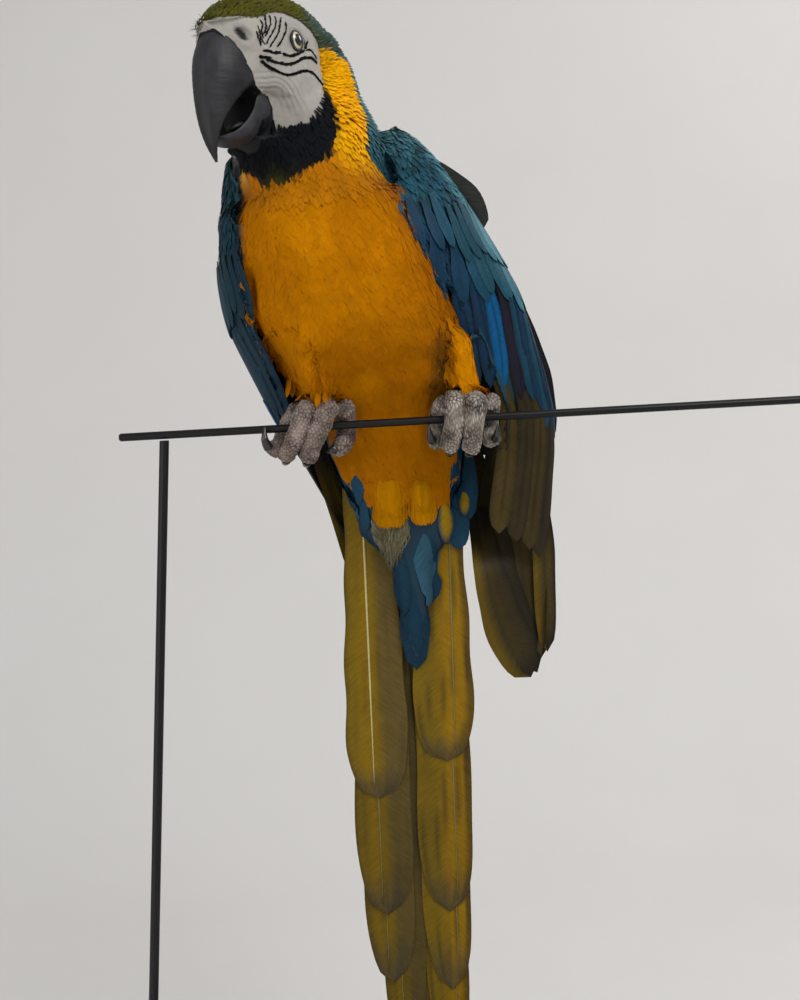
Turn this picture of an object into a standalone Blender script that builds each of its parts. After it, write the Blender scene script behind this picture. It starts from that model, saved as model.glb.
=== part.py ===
"""A blue-and-yellow macaw (Ara ararauna) on a cut length of thin steel rod, held by a plain display stand.

Metres, +Z up. The bird faces -Y, its left side is +X, and the origin is under the middle of the base.
Sizes in the tables are millimetres in the perch's frame: x across, y back, z up from the rod's axis.
"""

import bpy
import bmesh
from math import cos, sin, pi, radians, sqrt
from mathutils import Matrix, Vector

MM = 0.001
GAP = 0.4                                   # clearance between two solids that touch
PERCH = Vector((-60.0, -22.0, 562.0))       # where the perch's frame sits over the base

# ---------------------------------------------------------------- stand
BASE_W, BASE_D, BASE_H, BASE_CORNER = 540.0, 250.0, 12.0, 30.0
ROD_R = 2.5
PERCH_ENDS = (-173.0, 288.0)
LEGS = {"left": (-145.0, -186.0), "right": (262.0, 303.0)}      # x at the perch, x at the base
LEG_R, FLANGE_R, FLANGE_H = 3.0, 11.0, 4.0

# ---------------------------------------------------------------- body
# z, centre x, centre y, half width, front depth, back depth
TRUNK = (
    (-40.0, 2.0, 43.0, 40.0, 21.0, 27.0),
    (-20.0, 0.0, 40.0, 45.0, 21.5, 30.0),
    (0.0, -3.0, 37.0, 49.0, 20.0, 31.0),
    (20.0, -7.0, 29.0, 54.0, 25.0, 37.0),
    (45.0, -14.0, 13.0, 60.0, 41.0, 50.0),
    (75.0, -24.0, 5.0, 62.0, 51.0, 53.0),
    (105.0, -33.0, -1.0, 59.0, 55.0, 52.0),
    (138.0, -41.0, -8.0, 50.0, 50.0, 46.0),
    (160.0, -46.0, -17.0, 48.0, 46.0, 46.0),
    (190.0, -53.0, -28.0, 41.0, 44.0, 46.0),
)
BODY_POWER = 2.15
TRUNK_BOTTOM, TRUNK_TOP = -40.0, 138.0
RING = 32

# the head's own frame: f forward along the bill, l to the bird's left, u up, from between the eyes
HEAD_AT = Vector((-65.0, -46.0, 218.0))
HEAD_YAW, HEAD_PITCH, HEAD_ROLL = 36.0, 3.5, 0.5
# f, half width, top, bottom
HEAD = (
    (-45.0, 9.0, -2.0, -22.0),
    (-42.0, 16.0, 6.0, -31.0),
    (-35.0, 23.0, 15.5, -42.0),
    (-24.0, 28.0, 24.0, -54.0),
    (-10.0, 29.5, 29.0, -61.0),
    (5.0, 28.8, 30.5, -64.0),
    (17.0, 27.0, 30.0, -65.0),
    (28.0, 25.5, 28.0, -65.0),
    (38.0, 22.5, 23.0, -64.0),
    (47.0, 16.0, 12.5, -60.0),
)
CROWN_POWER, JAW_POWER = 2.6, 2.1            # how square a ring is above and below its middle
NAPE_SIDE = Vector((0.85, 0.5, 0.17))        # where the neck's feathers stand out most
HEAD_CORE = (-7.0, 0.0, -17.0)              # the point that the head's surface is seen from
COLLAR, NAPE_CLIMB, NAPE_BULGE = 76.0, 20.0, 44.0   # degrees from the neck's axis to the collar
EYE_SEAT, EYE_R = (0.0, 22.6, 0.0), 6.8     # the ball's centre and radius

# bill rings: upper or rear edge (f, u), lower or front edge (f, u), half width
BILL_UPPER = (
    ((44.5, 7.0), (27.5, -27.0), 15.5),
    ((51.5, 3.0), (33.0, -31.0), 14.8),
    ((56.0, -8.0), (38.0, -36.0), 13.2),
    ((57.7, -23.0), (42.5, -41.0), 11.4),
    ((57.8, -36.0), (45.7, -46.5), 9.4),
    ((56.3, -47.0), (48.7, -53.5), 7.0),
    ((53.8, -57.0), (49.3, -60.5), 4.3),
)
BILL_TIP = (49.8, -67.8)
BILL_LOWER = (
    ((27.0, -34.0), (30.0, -60.0), 15.0),
    ((30.5, -41.5), (36.5, -62.5), 13.5),
    ((35.5, -48.0), (40.5, -62.5), 11.3),
    ((40.0, -52.5), (43.5, -61.0), 8.0),
    ((43.3, -54.5), (45.0, -59.0), 4.6),
)
CHIN_TIP = (45.2, -56.8)

# ---------------------------------------------------------------- wings
# z, front edge (x, y), outermost (x, y), rear edge (x, y), thickness
WING_LEFT = (
    (178.0, (-3.0, -10.0), (22.0, 2.0), (4.0, 22.0), 14.0),
    (162.0, (-6.0, -24.0), (38.0, 1.0), (-2.0, 36.0), 22.0),
    (136.0, (7.0, -31.0), (54.0, 6.0), (-4.0, 46.0), 24.0),
    (108.0, (19.0, -29.0), (69.0, 12.0), (-3.0, 56.0), 24.0),
    (80.0, (32.0, -20.0), (83.0, 17.0), (-1.0, 66.0), 20.0),
    (54.0, (50.0, -3.0), (90.0, 23.0), (6.0, 72.0), 15.0),
    (29.0, (60.0, 5.0), (97.0, 30.0), (16.0, 77.0), 12.0),
    (4.0, (66.5, 13.0), (103.0, 36.0), (28.0, 80.0), 10.0),
    (-22.0, (64.0, 17.0), (104.0, 43.0), (40.0, 82.0), 9.0),
    (-60.0, (57.0, 32.0), (101.0, 52.0), (50.0, 84.0), 7.0),
    (-100.0, (50.0, 46.0), (98.0, 61.0), (54.0, 86.0), 6.0),
    (-138.0, (52.0, 60.0), (95.0, 68.0), (66.0, 84.0), 4.5),
    (-160.0, (68.0, 68.0), (93.0, 72.0), (80.0, 80.0), 3.0),
)
WING_LEFT_ENDS = ((9.0, 2.0, 187.0), (90.0, 74.0, -173.0))
WING_RIGHT = (
    (168.0, (-92.0, -8.0), (-99.0, 8.0), (-86.0, 24.0), 8.0),
    (150.0, (-90.0, -20.0), (-103.0, 8.0), (-80.0, 36.0), 12.0),
    (125.0, (-90.0, -29.0), (-106.0, 10.0), (-68.0, 48.0), 15.0),
    (97.0, (-87.0, -30.0), (-107.5, 14.0), (-60.0, 57.0), 17.0),
    (60.0, (-81.0, -20.0), (-101.5, 23.0), (-50.0, 68.0), 15.0),
    (30.0, (-73.0, 4.0), (-88.0, 36.0), (-38.0, 75.0), 12.0),
    (5.0, (-66.0, 26.0), (-76.0, 48.0), (-25.0, 80.0), 10.0),
    (-20.0, (-55.0, 40.0), (-60.0, 58.0), (-14.0, 84.0), 8.5),
    (-50.0, (-45.0, 50.0), (-43.0, 70.0), (-2.0, 87.0), 7.0),
    (-85.0, (-34.0, 72.0), (-26.0, 80.0), (8.0, 90.0), 5.5),
    (-125.0, (-20.0, 80.0), (-8.0, 87.0), (16.0, 93.0), 4.5),
    (-165.0, (-2.0, 87.0), (8.0, 91.0), (20.0, 94.0), 3.0),
)
WING_RIGHT_ENDS = ((-93.0, 8.0, 177.0), (13.0, 92.0, -186.0))
WING_PART = -22.0                           # the flight feathers' own node starts below this

# ---------------------------------------------------------------- tail
# z, left edge x, right edge x, thickness
TAIL = (
    (-40.4, -30.0, 40.0, 26.0),
    (-60.0, -36.0, 46.0, 22.0),
    (-85.0, -39.0, 48.0, 18.0),
    (-130.0, -42.0, 45.0, 14.0),
    (-190.0, -44.0, 41.0, 12.0),
    (-250.0, -44.0, 37.0, 10.0),
    (-310.0, -40.0, 34.0, 8.0),
    (-360.0, -33.0, 32.0, 7.0),
    (-410.0, -24.0, 28.0, 6.0),
    (-460.0, -14.0, 21.0, 5.0),
    (-500.0, -5.0, 13.0, 3.5),
)
TAIL_END = (4.0, -526.0)
TAIL_FRONT, TAIL_LEAN = 48.0, 0.085         # y of the front face at its root, and its slope backwards
# z, centre x, half width, depth in front of the tail
VENT = (
    (-40.4, 2.0, 38.0, 28.0),
    (-52.0, 3.0, 36.0, 26.0),
    (-66.0, 4.0, 36.0, 20.0),
    (-90.0, 5.0, 31.0, 14.0),
    (-118.0, 5.0, 23.0, 10.0),
    (-142.0, 5.0, 13.0, 6.5),
)
VENT_END = (5.0, -161.0)

# ---------------------------------------------------------------- legs
# side, thigh top (x, y, z), ankle (x, y, z), top radius, ankle radius
THIGHS = {
    "left": ((33.0, -10.0, 58.0), (44.0, 1.0, 17.0), 17.0, 12.0),
    "right": ((-52.0, -10.0, 56.0), (-48.0, 1.0, 17.0), 19.0, 12.0),
}
FOOT_X = {"left": 44.0, "right": -48.0}
TOE_R = 6.0
# each toe: its points (x from the foot, y, z), then its claw's points
TOES = {
    "left_front_inner": (((-6.4, -6.6, 9.5), (-6.8, -10.5, 6.5), (-7.4, -11.5, -2.0),
                          (-9.4, -10.0, -11.5), (-11.0, -5.0, -17.5)),
                         ((-11.3, -2.0, -20.0), (-11.5, 3.0, -21.5), (-11.6, 8.0, -19.5))),
    "left_front_outer": (((6.4, -6.6, 9.5), (6.1, -10.8, 7.0), (4.4, -12.0, -2.0),
                          (2.6, -10.8, -12.5), (1.0, -5.6, -19.0)),
                         ((0.7, -2.6, -21.5), (0.5, 2.5, -23.0), (0.4, 7.5, -21.0))),
    "left_rear_inner": (((-13.2, 6.0, 10.0), (-15.5, 10.2, 6.5), (-17.5, 11.4, -1.5),
                         (-18.6, 8.6, -9.0), (-19.8, 1.5, -12.5)),
                        ((-22.0, -2.8, -13.0), (-23.0, -6.5, -10.5), (-23.4, -8.6, -5.5))),
    "left_rear_outer": (((16.2, 4.0, 10.0), (16.2, 9.4, 6.0), (15.4, 10.6, -1.5),
                         (15.0, 8.6, -9.5), (15.6, 1.5, -13.5)),
                        ((17.4, -3.2, -14.0), (18.4, -7.5, -11.5), (19.0, -9.6, -6.0))),
    "right_front_inner": (((6.4, -6.6, 9.5), (5.2, -10.8, 7.0), (0.8, -12.0, -2.0),
                           (-4.2, -10.8, -12.5), (-7.6, -5.6, -19.0)),
                          ((-8.4, -2.6, -21.5), (-9.6, 2.5, -23.0), (-10.4, 7.5, -21.0))),
    "right_front_outer": (((-6.6, -6.6, 9.5), (-8.4, -10.4, 6.5), (-11.6, -11.5, -2.0),
                           (-16.8, -10.2, -11.5), (-20.4, -5.0, -17.0)),
                          ((-21.2, -2.0, -19.5), (-22.6, 3.0, -21.0), (-23.4, 8.0, -19.0))),
    "right_rear_inner": (((15.8, 3.6, 10.6), (16.6, 8.8, 6.5), (16.6, 11.0, -2.0),
                          (14.6, 8.0, -10.5), (11.4, 0.0, -14.5)),
                         ((9.0, -3.6, -15.0), (7.0, -4.8, -15.6), (5.2, -4.6, -16.6))),
    "right_rear_outer": (((-13.2, 6.0, 10.0), (-16.8, 10.2, 6.5), (-21.0, 11.4, -2.0),
                          (-25.0, 8.0, -9.5), (-29.0, 0.5, -12.5)),
                         ((-31.6, -4.6, -12.0), (-33.6, -7.6, -6.5), (-33.2, -6.8, 0.5))),
}

# ---------------------------------------------------------------- colours: rgb, roughness, metallic
COLOURS = {
    "breast_gold": ((0.52, 0.24, 0.01), 0.75, 0.0),
    "crown_green": ((0.12, 0.14, 0.04), 0.75, 0.0),
    "wing_teal": ((0.04, 0.14, 0.18), 0.6, 0.0),
    "flight_blue": ((0.01, 0.08, 0.25), 0.55, 0.0),
    "tail_olive": ((0.20, 0.17, 0.02), 0.6, 0.0),
    "vent_blue": ((0.02, 0.10, 0.20), 0.7, 0.0),
    "throat_black": ((0.015, 0.02, 0.02), 0.75, 0.0),
    "bill_black": ((0.03, 0.03, 0.033), 0.4, 0.0),
    "claw_black": ((0.02, 0.02, 0.02), 0.4, 0.0),
    "scaly_grey": ((0.22, 0.19, 0.17), 0.7, 0.0),
    "eye_cream": ((0.60, 0.56, 0.40), 0.1, 0.0),
    "black_steel": ((0.012, 0.012, 0.013), 0.4, 0.6),
    "black_board": ((0.02, 0.02, 0.02), 0.5, 0.0),
}


def reset():
    for item in list(bpy.data.objects):
        bpy.data.objects.remove(item, do_unlink=True)


def material(name):
    mat = bpy.data.materials.get(name)
    if mat is None:
        rgb, rough, metal = COLOURS[name]
        mat = bpy.data.materials.new(name)
        mat.use_nodes = True
        shader = mat.node_tree.nodes["Principled BSDF"]
        shader.inputs["Base Color"].default_value = (*rgb, 1.0)
        shader.inputs["Roughness"].default_value = rough
        shader.inputs["Metallic"].default_value = metal
        mat.diffuse_color = (*rgb, 1.0)
    return mat


def table(rows, z):
    """The row of a table at height z, by a smooth curve through its rows. Tuples in a row are eased too."""
    rows = sorted(rows, key=lambda r: r[0])
    z = min(max(z, rows[0][0]), rows[-1][0])
    i = 0
    while i < len(rows) - 2 and z > rows[i + 1][0]:
        i += 1
    p0, p1, p2, p3 = rows[max(i - 1, 0)], rows[i], rows[i + 1], rows[min(i + 2, len(rows) - 1)]
    h = p2[0] - p1[0]
    t = (z - p1[0]) / h

    def ease(a, b, c, d):
        if isinstance(b, tuple):
            return tuple(ease(*q) for q in zip(a, b, c, d))
        m1 = (c - a) / max(p2[0] - p0[0], 1e-6) * h
        m2 = (d - b) / max(p3[0] - p1[0], 1e-6) * h
        t2, t3 = t * t, t * t * t
        return (2 * t3 - 3 * t2 + 1) * b + (t3 - 2 * t2 + t) * m1 + (3 * t2 - 2 * t3) * c + (t3 - t2) * m2

    return tuple(ease(*q) for q in zip(p0, p1, p2, p3))[1:]


def oval(angle, a, front, back, power):
    """A point on a body ring: angle 0 is the front, a quarter turn is the bird's left."""
    c, s = cos(angle), sin(angle)
    x = a * abs(s) ** (2 / power) * (1 if s > 0 else -1)
    y = (front if c > 0 else back) * abs(c) ** (2 / power) * (-1 if c > 0 else 1)
    return x, y


def solid(name, rings, mat, ends=(None, None), smooth=True):
    """One closed solid through rings of points in the perch's frame. An end is a point, or None for a flat cap."""
    bm = bmesh.new()
    loops = [[bm.verts.new((p + PERCH) * MM) for p in ring] for ring in rings]
    for a, b in zip(loops, loops[1:]):
        n = len(a)
        for k in range(n):
            bm.faces.new((a[k], a[(k + 1) % n], b[(k + 1) % n], b[k]))
    for loop, end, turn in ((loops[0], ends[0], True), (loops[-1], ends[1], False)):
        n = len(loop)
        if end is None:
            bm.faces.new(loop[::-1] if turn else loop)
        else:
            tip = bm.verts.new((Vector(end) + PERCH) * MM)
            for k in range(n):
                a, b = loop[k], loop[(k + 1) % n]
                bm.faces.new((b, a, tip) if turn else (a, b, tip))
    caps = [f for f in bm.faces if len(f.verts) > 4]
    bmesh.ops.recalc_face_normals(bm, faces=bm.faces)
    for face in bm.faces:
        face.smooth = smooth and face not in caps
    bmesh.ops.triangulate(bm, faces=bm.faces, quad_method="SHORT_EDGE")
    if bm.calc_volume(signed=True) < 0:
        bmesh.ops.reverse_faces(bm, faces=bm.faces)
    mesh = bpy.data.meshes.new(name)
    bm.to_mesh(mesh)
    bm.free()
    obj = bpy.data.objects.new(name, mesh)
    bpy.context.scene.collection.objects.link(obj)
    mesh.materials.append(material(mat))
    return obj


# ---------------------------------------------------------------- the body's own surface
def body_ring(z, grow=0.0, count=RING):
    cx, cy, a, front, back = table(TRUNK, z)
    ring = []
    for k in range(count):
        x, y = oval(2 * pi * k / count, a + grow, front + grow, back + grow, BODY_POWER)
        ring.append(Vector((cx + x, cy + y, z)))
    return ring


def tail_front(z):
    return TAIL_FRONT + (TAIL[0][0] - z) * TAIL_LEAN


def off_body(p, gap):
    """Moves a point out of the trunk and off the tail's back face, to leave a gap."""
    x, y, z = p
    if z > TRUNK_BOTTOM - 14.0:
        cx, cy, a, front, back = table(TRUNK, z)
        depth = front if y < cy else back
        q = (abs(x - cx) / (a + gap)) ** BODY_POWER + (abs(y - cy) / (depth + gap)) ** BODY_POWER
        if 1e-9 < q < 1.0:
            grow = q ** (-1.0 / BODY_POWER)
            x, y = cx + (x - cx) * grow, cy + (y - cy) * grow
    if z < TAIL[0][0] + 16.0:
        left, right, thick = table(TAIL, min(z, TAIL[0][0]))
        back = tail_front(z) + thick + gap
        if left - gap < x < right + gap and tail_front(z) - 2.0 < y < back:
            y = back
    return Vector((x, y, z))


def head_frame():
    yaw, pitch, roll = radians(HEAD_YAW), radians(HEAD_PITCH), radians(HEAD_ROLL)
    fwd = Vector((-sin(yaw), -cos(yaw), 0.0))
    left = Vector((cos(yaw), -sin(yaw), 0.0))
    up = Vector((0.0, 0.0, 1.0))
    fwd, up = fwd * cos(pitch) - up * sin(pitch), up * cos(pitch) + fwd * sin(pitch)
    left, up = left * cos(roll) - up * sin(roll), up * cos(roll) + left * sin(roll)
    return fwd, left, up


FWD, LEFT, UP = head_frame()


def on_head(f, l, u):
    return HEAD_AT + FWD * f + LEFT * l + UP * u


def cut_plane(ring):
    """A cut's normal and offset in the head's frame, from a bill ring's two edges."""
    (f0, u0), (f1, u1), _ = ring
    n = Vector((u0 - u1, 0.0, f1 - f0)).normalized()
    return n, n.dot(Vector((f0, 0.0, u0)))


CUTS = [cut_plane(BILL_UPPER[0]), cut_plane(BILL_LOWER[0])]


def trim_front(p):
    """Draws a point of the head back to the cuts where the upper or the lower bill starts."""
    core = Vector(HEAD_CORE)
    d = p - core
    reach = [(c - n.dot(core)) / n.dot(d) if n.dot(d) > 1e-9 else 1.0 for n, c in CUTS]
    return core + d * min(1.0, max(reach))


def inside_head(p):
    f, l, u = p
    if not HEAD[0][0] < f < HEAD[-1][0]:
        return False
    if all(n.dot(p) > c for n, c in CUTS):
        return False
    w, top, bottom = table(HEAD, f)
    mid, half = (top + bottom) / 2, (top - bottom) / 2
    power = CROWN_POWER if u > mid else JAW_POWER
    return (abs(l) / w) ** power + (abs(u - mid) / half) ** power < 1.0


def head_reach(direction):
    """How far the head goes from its core along a direction of the perch's frame."""
    d = Vector((direction.dot(FWD), direction.dot(LEFT), direction.dot(UP)))
    core, low, high = Vector(HEAD_CORE), 0.0, 120.0
    for _ in range(26):
        mid = (low + high) / 2
        low, high = (mid, high) if inside_head(core + d * mid) else (low, mid)
    return low


# ---------------------------------------------------------------- pieces
def build_trunk():
    heights = (-40.0, -30.0, -20.0, -8.0, 4.0, 16.0, 30.0, 45.0, 60.0, 75.0, 90.0, 105.0, 120.0, 130.0, 138.0)
    solid("trunk", [body_ring(z) for z in heights], "breast_gold")


def head_solid(name, grow=0.0):
    """The head, or a copy of it grown all round, as rings from the nape to the cuts at the bill."""
    count = 26
    stations = (-45.0, -42.0, -38.0, -32.0, -25.0, -16.0, -7.0, 2.0, 11.0, 19.0, 27.0, 34.0, 41.0, 46.9)
    core = Vector(HEAD_CORE)

    def place(p):
        p = trim_front(p)
        return on_head(*(p + (p - core).normalized() * grow))

    rings = []
    for f in stations:
        w, top, bottom = table(HEAD, f)
        mid, half = (top + bottom) / 2, (top - bottom) / 2
        ring = []
        for k in range(count):
            a = 2 * pi * k / count
            c, s = cos(a), sin(a)
            power = 2 / (CROWN_POWER if c > 0 else JAW_POWER)
            l = w * abs(s) ** power * (1 if s > 0 else -1)
            u = mid + half * abs(c) ** power * (1 if c > 0 else -1)
            ring.append(place(Vector((f, l, u))))
        rings.append(ring)
    ends = place(Vector((-46.5, 0.0, -13.0))), place(Vector((47.0, 0.0, -24.0)))
    return solid(name, rings, "crown_green", ends)


def carve(target, cutter):
    """Cuts one solid out of another and throws the cutter away."""
    cut = target.modifiers.new("cut", "BOOLEAN")
    cut.operation, cut.solver, cut.object = "DIFFERENCE", "EXACT", cutter
    bpy.context.view_layer.update()
    carved = bpy.data.meshes.new_from_object(target.evaluated_get(bpy.context.evaluated_depsgraph_get()))
    target.modifiers.clear()
    old, target.data = target.data, carved
    carved.name = target.name
    bpy.data.meshes.remove(old)
    bpy.data.objects.remove(cutter, do_unlink=True)


def eye_ball(name, side, radius, segments=14):
    out = LEFT * side
    seat = on_head(EYE_SEAT[0], EYE_SEAT[1] * side, EYE_SEAT[2])
    rings = []
    for j in range(1, 8):
        a = pi * j / 8
        rings.append([seat + radius * (-cos(a) * out + sin(a) * (cos(b) * UP + sin(b) * FWD))
                      for b in (2 * pi * k / segments for k in range(segments))])
    return solid(name, rings, "eye_cream", (seat - radius * out, seat + radius * out))


def build_head():
    head = head_solid("head")
    for name, side in (("left", 1), ("right", -1)):
        carve(head, eye_ball("socket", side, EYE_R + GAP))
        eye_ball("eye_" + name, side, EYE_R)


def build_bill(name, rows, tip, cut):
    count = 16
    shift = CUTS[cut][0] * GAP
    rings = []
    for (f0, u0), (f1, u1), w in rows:
        top, low = Vector((f0, 0.0, u0)), Vector((f1, 0.0, u1))
        mid, half = (top + low) / 2, (top - low) / 2
        ring = []
        for k in range(count):
            a = 2 * pi * k / count
            c, s = cos(a), sin(a)
            p = mid + half * abs(c) ** 0.9 * (1 if c > 0 else -1) + shift
            p.y = w * abs(s) ** 0.85 * (1 if s > 0 else -1)
            ring.append(on_head(*p))
        rings.append(ring)
    end = on_head(tip[0], 0.0, tip[1])
    bill = solid(name, rings, "bill_black", (None, end))
    carve(bill, head_solid("head_grown", GAP))


def build_neck():
    base = body_ring(TRUNK_TOP)
    middle = sum(base, Vector()) / len(base)
    core = on_head(*HEAD_CORE)
    axis = (middle - core).normalized()
    front = (Vector((0.0, -1.0, 0.0)) - axis * axis.dot(Vector((0.0, -1.0, 0.0)))).normalized()
    left = front.cross(axis)
    if left.x < 0:
        left = -left
    level = Vector((0.0, 0.0, GAP))
    rim = []
    for k in range(RING):
        a = 2 * pi * k / RING
        side = front * cos(a) + left * sin(a)
        b = radians(COLLAR + NAPE_CLIMB * max(0.0, side.dot(NAPE_SIDE)))
        d = axis * cos(b) + side * sin(b)
        rim.append(core + d * (head_reach(d) + GAP))
    rings = [[p + level for p in base]]
    for t in (0.25, 0.5, 0.75, 1.0):
        row = []
        for low, high in zip(base, rim):
            p = (low + level).lerp(high, t)
            out = p - core.lerp(middle, t)
            nape = max(0.0, out.normalized().dot(NAPE_SIDE))
            row.append(p + out.normalized() * (5.0 + NAPE_BULGE * t * nape) * t * (1.0 - t))
        rings.append(row)
    neck = solid("neck", rings, "throat_black", (None, core - axis * 4.0))
    carve(neck, head_solid("head_grown", GAP * 1.5))


def wing_ring(rows, z):
    (fx, fy), (ox, oy), (rx, ry), thick = table(rows, z)
    count = 14
    outer = []
    for k in range(count + 1):
        s = k / count
        q = ((1 - s) * (1 - 2 * s), 4 * s * (1 - s), s * (2 * s - 1))
        p = Vector((fx * q[0] + ox * q[1] + rx * q[2], fy * q[0] + oy * q[1] + ry * q[2], z))
        outer.append(off_body(p, 3.6))
    ring = list(outer)
    for k in range(count - 1, 0, -1):
        s = k / count
        along = outer[k + 1] - outer[k - 1]
        inward = Vector((-along.y, along.x, 0.0)).normalized()
        if inward.dot(Vector(((fx + rx) / 2 - outer[k].x, (fy + ry) / 2 - outer[k].y, 0.0))) < 0:
            inward = -inward
        deep = thick * min(1.0, 2.6 * sqrt(s * (1.0 - s)))
        ring.append(off_body(outer[k] + inward * deep, 1.4))
    return ring


def build_wing(side, rows, ends):
    top, tip = (Vector(e) for e in ends)
    heights = [r[0] for r in rows]
    upper = [z for z in heights if z >= WING_PART]
    lower = [z for z in heights if z <= WING_PART]
    if upper[-1] != WING_PART:
        upper.append(WING_PART)
        lower.insert(0, WING_PART)
    fill = []
    for a, b in zip(upper, upper[1:]):
        fill += [a, (a + b) / 2] if abs(a - b) > 30 else [a]
    fill.append(upper[-1])
    rings = [wing_ring(rows, z) for z in fill]
    solid("wing_" + side, rings, "wing_teal", (off_body(top, 3.0), None))
    drop = Vector((0.0, 0.0, -GAP))
    rings = [wing_ring(rows, z) for z in lower]
    rings[0] = [p + drop for p in rings[0]]
    solid("primaries_" + side, rings, "flight_blue", (None, tip))


def build_tail():
    rings = []
    for z, *_ in TAIL:
        left, right, thick = table(TAIL, z)
        front, mid, half = tail_front(z), (left + right) / 2, (right - left) / 2
        ring = []
        for k in range(10):                              # the front face, nearly flat
            s = -1.0 + 2.0 * k / 9
            ring.append(Vector((mid + half * s, front + 0.6 * thick * abs(s) ** 6 * 0.5, z)))
        for k in range(1, 10):                           # the back face, a low roof
            s = 1.0 - 2.0 * k / 10
            ring.append(Vector((mid + half * s, front + thick * (1.0 - 0.7 * abs(s) ** 2.2), z)))
        rings.append(ring)
    end = (TAIL_END[0], tail_front(TAIL_END[1]) + 1.5, TAIL_END[1])
    solid("tail", rings, "tail_olive", (None, end))


def build_vent():
    rings = []
    for z, *_ in VENT:
        cx, half, depth = table(VENT, z)
        back = tail_front(z) - GAP
        ring = []
        for k in range(12):
            s = -1.0 + 2.0 * k / 11
            ring.append(Vector((cx + half * s, back - depth * (1.0 - abs(s) ** 2.4) ** 0.5 - 0.8, z)))
        for k in range(1, 6):
            s = 1.0 - 2.0 * k / 6
            ring.append(Vector((cx + half * s, back, z)))
        rings.append(ring)
    end = (VENT_END[0], tail_front(VENT_END[1]) - GAP - 1.0, VENT_END[1])
    solid("undertail", rings, "vent_blue", (None, end))


def build_thigh(side):
    top, ankle, r0, r1 = THIGHS[side]
    top, ankle = Vector(top), Vector(ankle)
    rings = []
    for j in range(6):
        t = j / 5
        centre = top.lerp(ankle, t)
        radius = r0 + (r1 - r0) * t ** 1.3
        if j == 0:
            radius *= 0.62
        ring = []
        for k in range(18):
            a = 2 * pi * k / 18
            p = centre + Vector((radius * sin(a), -radius * cos(a) * 0.92, 0.0))
            outward = 0.5 + 0.5 * cos(a)
            ring.append(off_body(p, 2.2 + (1.5 + 4.5 * t) * outward))
        rings.append(ring)
    cap = off_body(rings[0][0] + Vector((0.0, 0.0, 3.0)), 1.5)
    solid("thigh_" + side, rings, "breast_gold", (cap, None))


def tube(name, points, radii, mat, count=10, ends=(None, None)):
    points = [Vector(p) for p in points]
    rings = []
    side = None
    for i, p in enumerate(points):
        ahead = points[min(i + 1, len(points) - 1)] - points[max(i - 1, 0)]
        ahead.normalize()
        if side is None:
            side = ahead.orthogonal().normalized()
        side = (side - ahead * ahead.dot(side)).normalized()
        other = ahead.cross(side)
        rings.append([p + radii[i] * (side * cos(2 * pi * k / count) + other * sin(2 * pi * k / count))
                      for k in range(count)])
    return solid(name, rings, mat, ends)


def curve(points, steps):
    """A smooth curve through points, as a list of points."""
    rows = [(float(i), *p) for i, p in enumerate(points)]
    last = len(points) - 1
    return [Vector(table(rows, last * k / steps)) for k in range(steps + 1)]


def build_foot(side):
    x = FOOT_X[side]
    rings = []
    for z, w, front, back in ((16.4, 10.5, 4.0, 6.5), (12.0, 11.0, 4.4, 7.5), (8.0, 10.4, 3.6, 8.0),
                              (4.2, 8.0, 2.0, 6.0)):
        ring = []
        for k in range(16):
            dx, dy = oval(2 * pi * k / 16, w, front, back, 2.6)
            ring.append(Vector((x + dx, dy, z)))
        rings.append(ring)
    solid("foot_" + side, rings, "scaly_grey")


def build_toes():
    for name, (points, claw) in TOES.items():
        side = name.split("_")[0]
        at = Vector((FOOT_X[side], 0.0, 0.0))
        path = [p + at for p in curve(points, 7)]
        n = len(path) - 1
        radii = [TOE_R * (1.0 - 0.16 * i / n) for i in range(n + 1)]
        ahead = (path[-1] - path[-2]).normalized()
        tube("toe_" + name, path, radii, "scaly_grey", 10, (None, path[-1] + ahead * 2.4))
        hook = [p + at for p in curve(claw, 4)]
        m = len(hook) - 1
        sizes = [3.0 * (1.0 - 0.8 * (i / m) ** 1.4) for i in range(m + 1)]
        tube("claw_" + name, hook, sizes, "claw_black", 8, (None, hook[-1] + (hook[-1] - hook[-2]) * 0.4))


def build_stand():
    floor = -PERCH.z
    outline = []
    for cx, cy, start in ((1, 1, 0), (-1, 1, 1), (-1, -1, 2), (1, -1, 3)):
        for k in range(7):
            a = (start + k / 6) * pi / 2
            outline.append((cx * (BASE_W / 2 - BASE_CORNER) + BASE_CORNER * cos(a),
                            cy * (BASE_D / 2 - BASE_CORNER) + BASE_CORNER * sin(a)))
    rings = []
    for z, inset in ((0.0, 0.0), (BASE_H - 1.5, 0.0), (BASE_H, 1.5)):
        ring = []
        for x, y in outline:
            shrink = 1.0 - inset * 2 / BASE_W, 1.0 - inset * 2 / BASE_D
            ring.append(Vector((x * shrink[0], y * shrink[1], z)) - PERCH)
        rings.append(ring)
    solid("stand_base", rings, "black_board", smooth=False)
    for side, (top, foot) in LEGS.items():
        low, high = floor + BASE_H + GAP, -ROD_R - GAP - 0.6
        lean = (top - foot) / (high - low)
        rings = []
        for z, r in ((low, FLANGE_R), (low + FLANGE_H - 1, FLANGE_R), (low + FLANGE_H, FLANGE_R - 1),
                     (low + FLANGE_H + 0.1, LEG_R), (high, LEG_R)):
            cx = foot + lean * (z - low)
            rings.append([Vector((cx + r * cos(2 * pi * k / 20), r * sin(2 * pi * k / 20), z)) for k in range(20)])
        solid("stand_rod_" + side, rings, "black_steel")
    a, b = PERCH_ENDS
    tube("perch", [(a, 0, 0), (a + 1, 0, 0), (b - 1, 0, 0), (b, 0, 0)], [ROD_R - 0.8, ROD_R, ROD_R, ROD_R - 0.8],
         "black_steel", 20)


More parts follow.
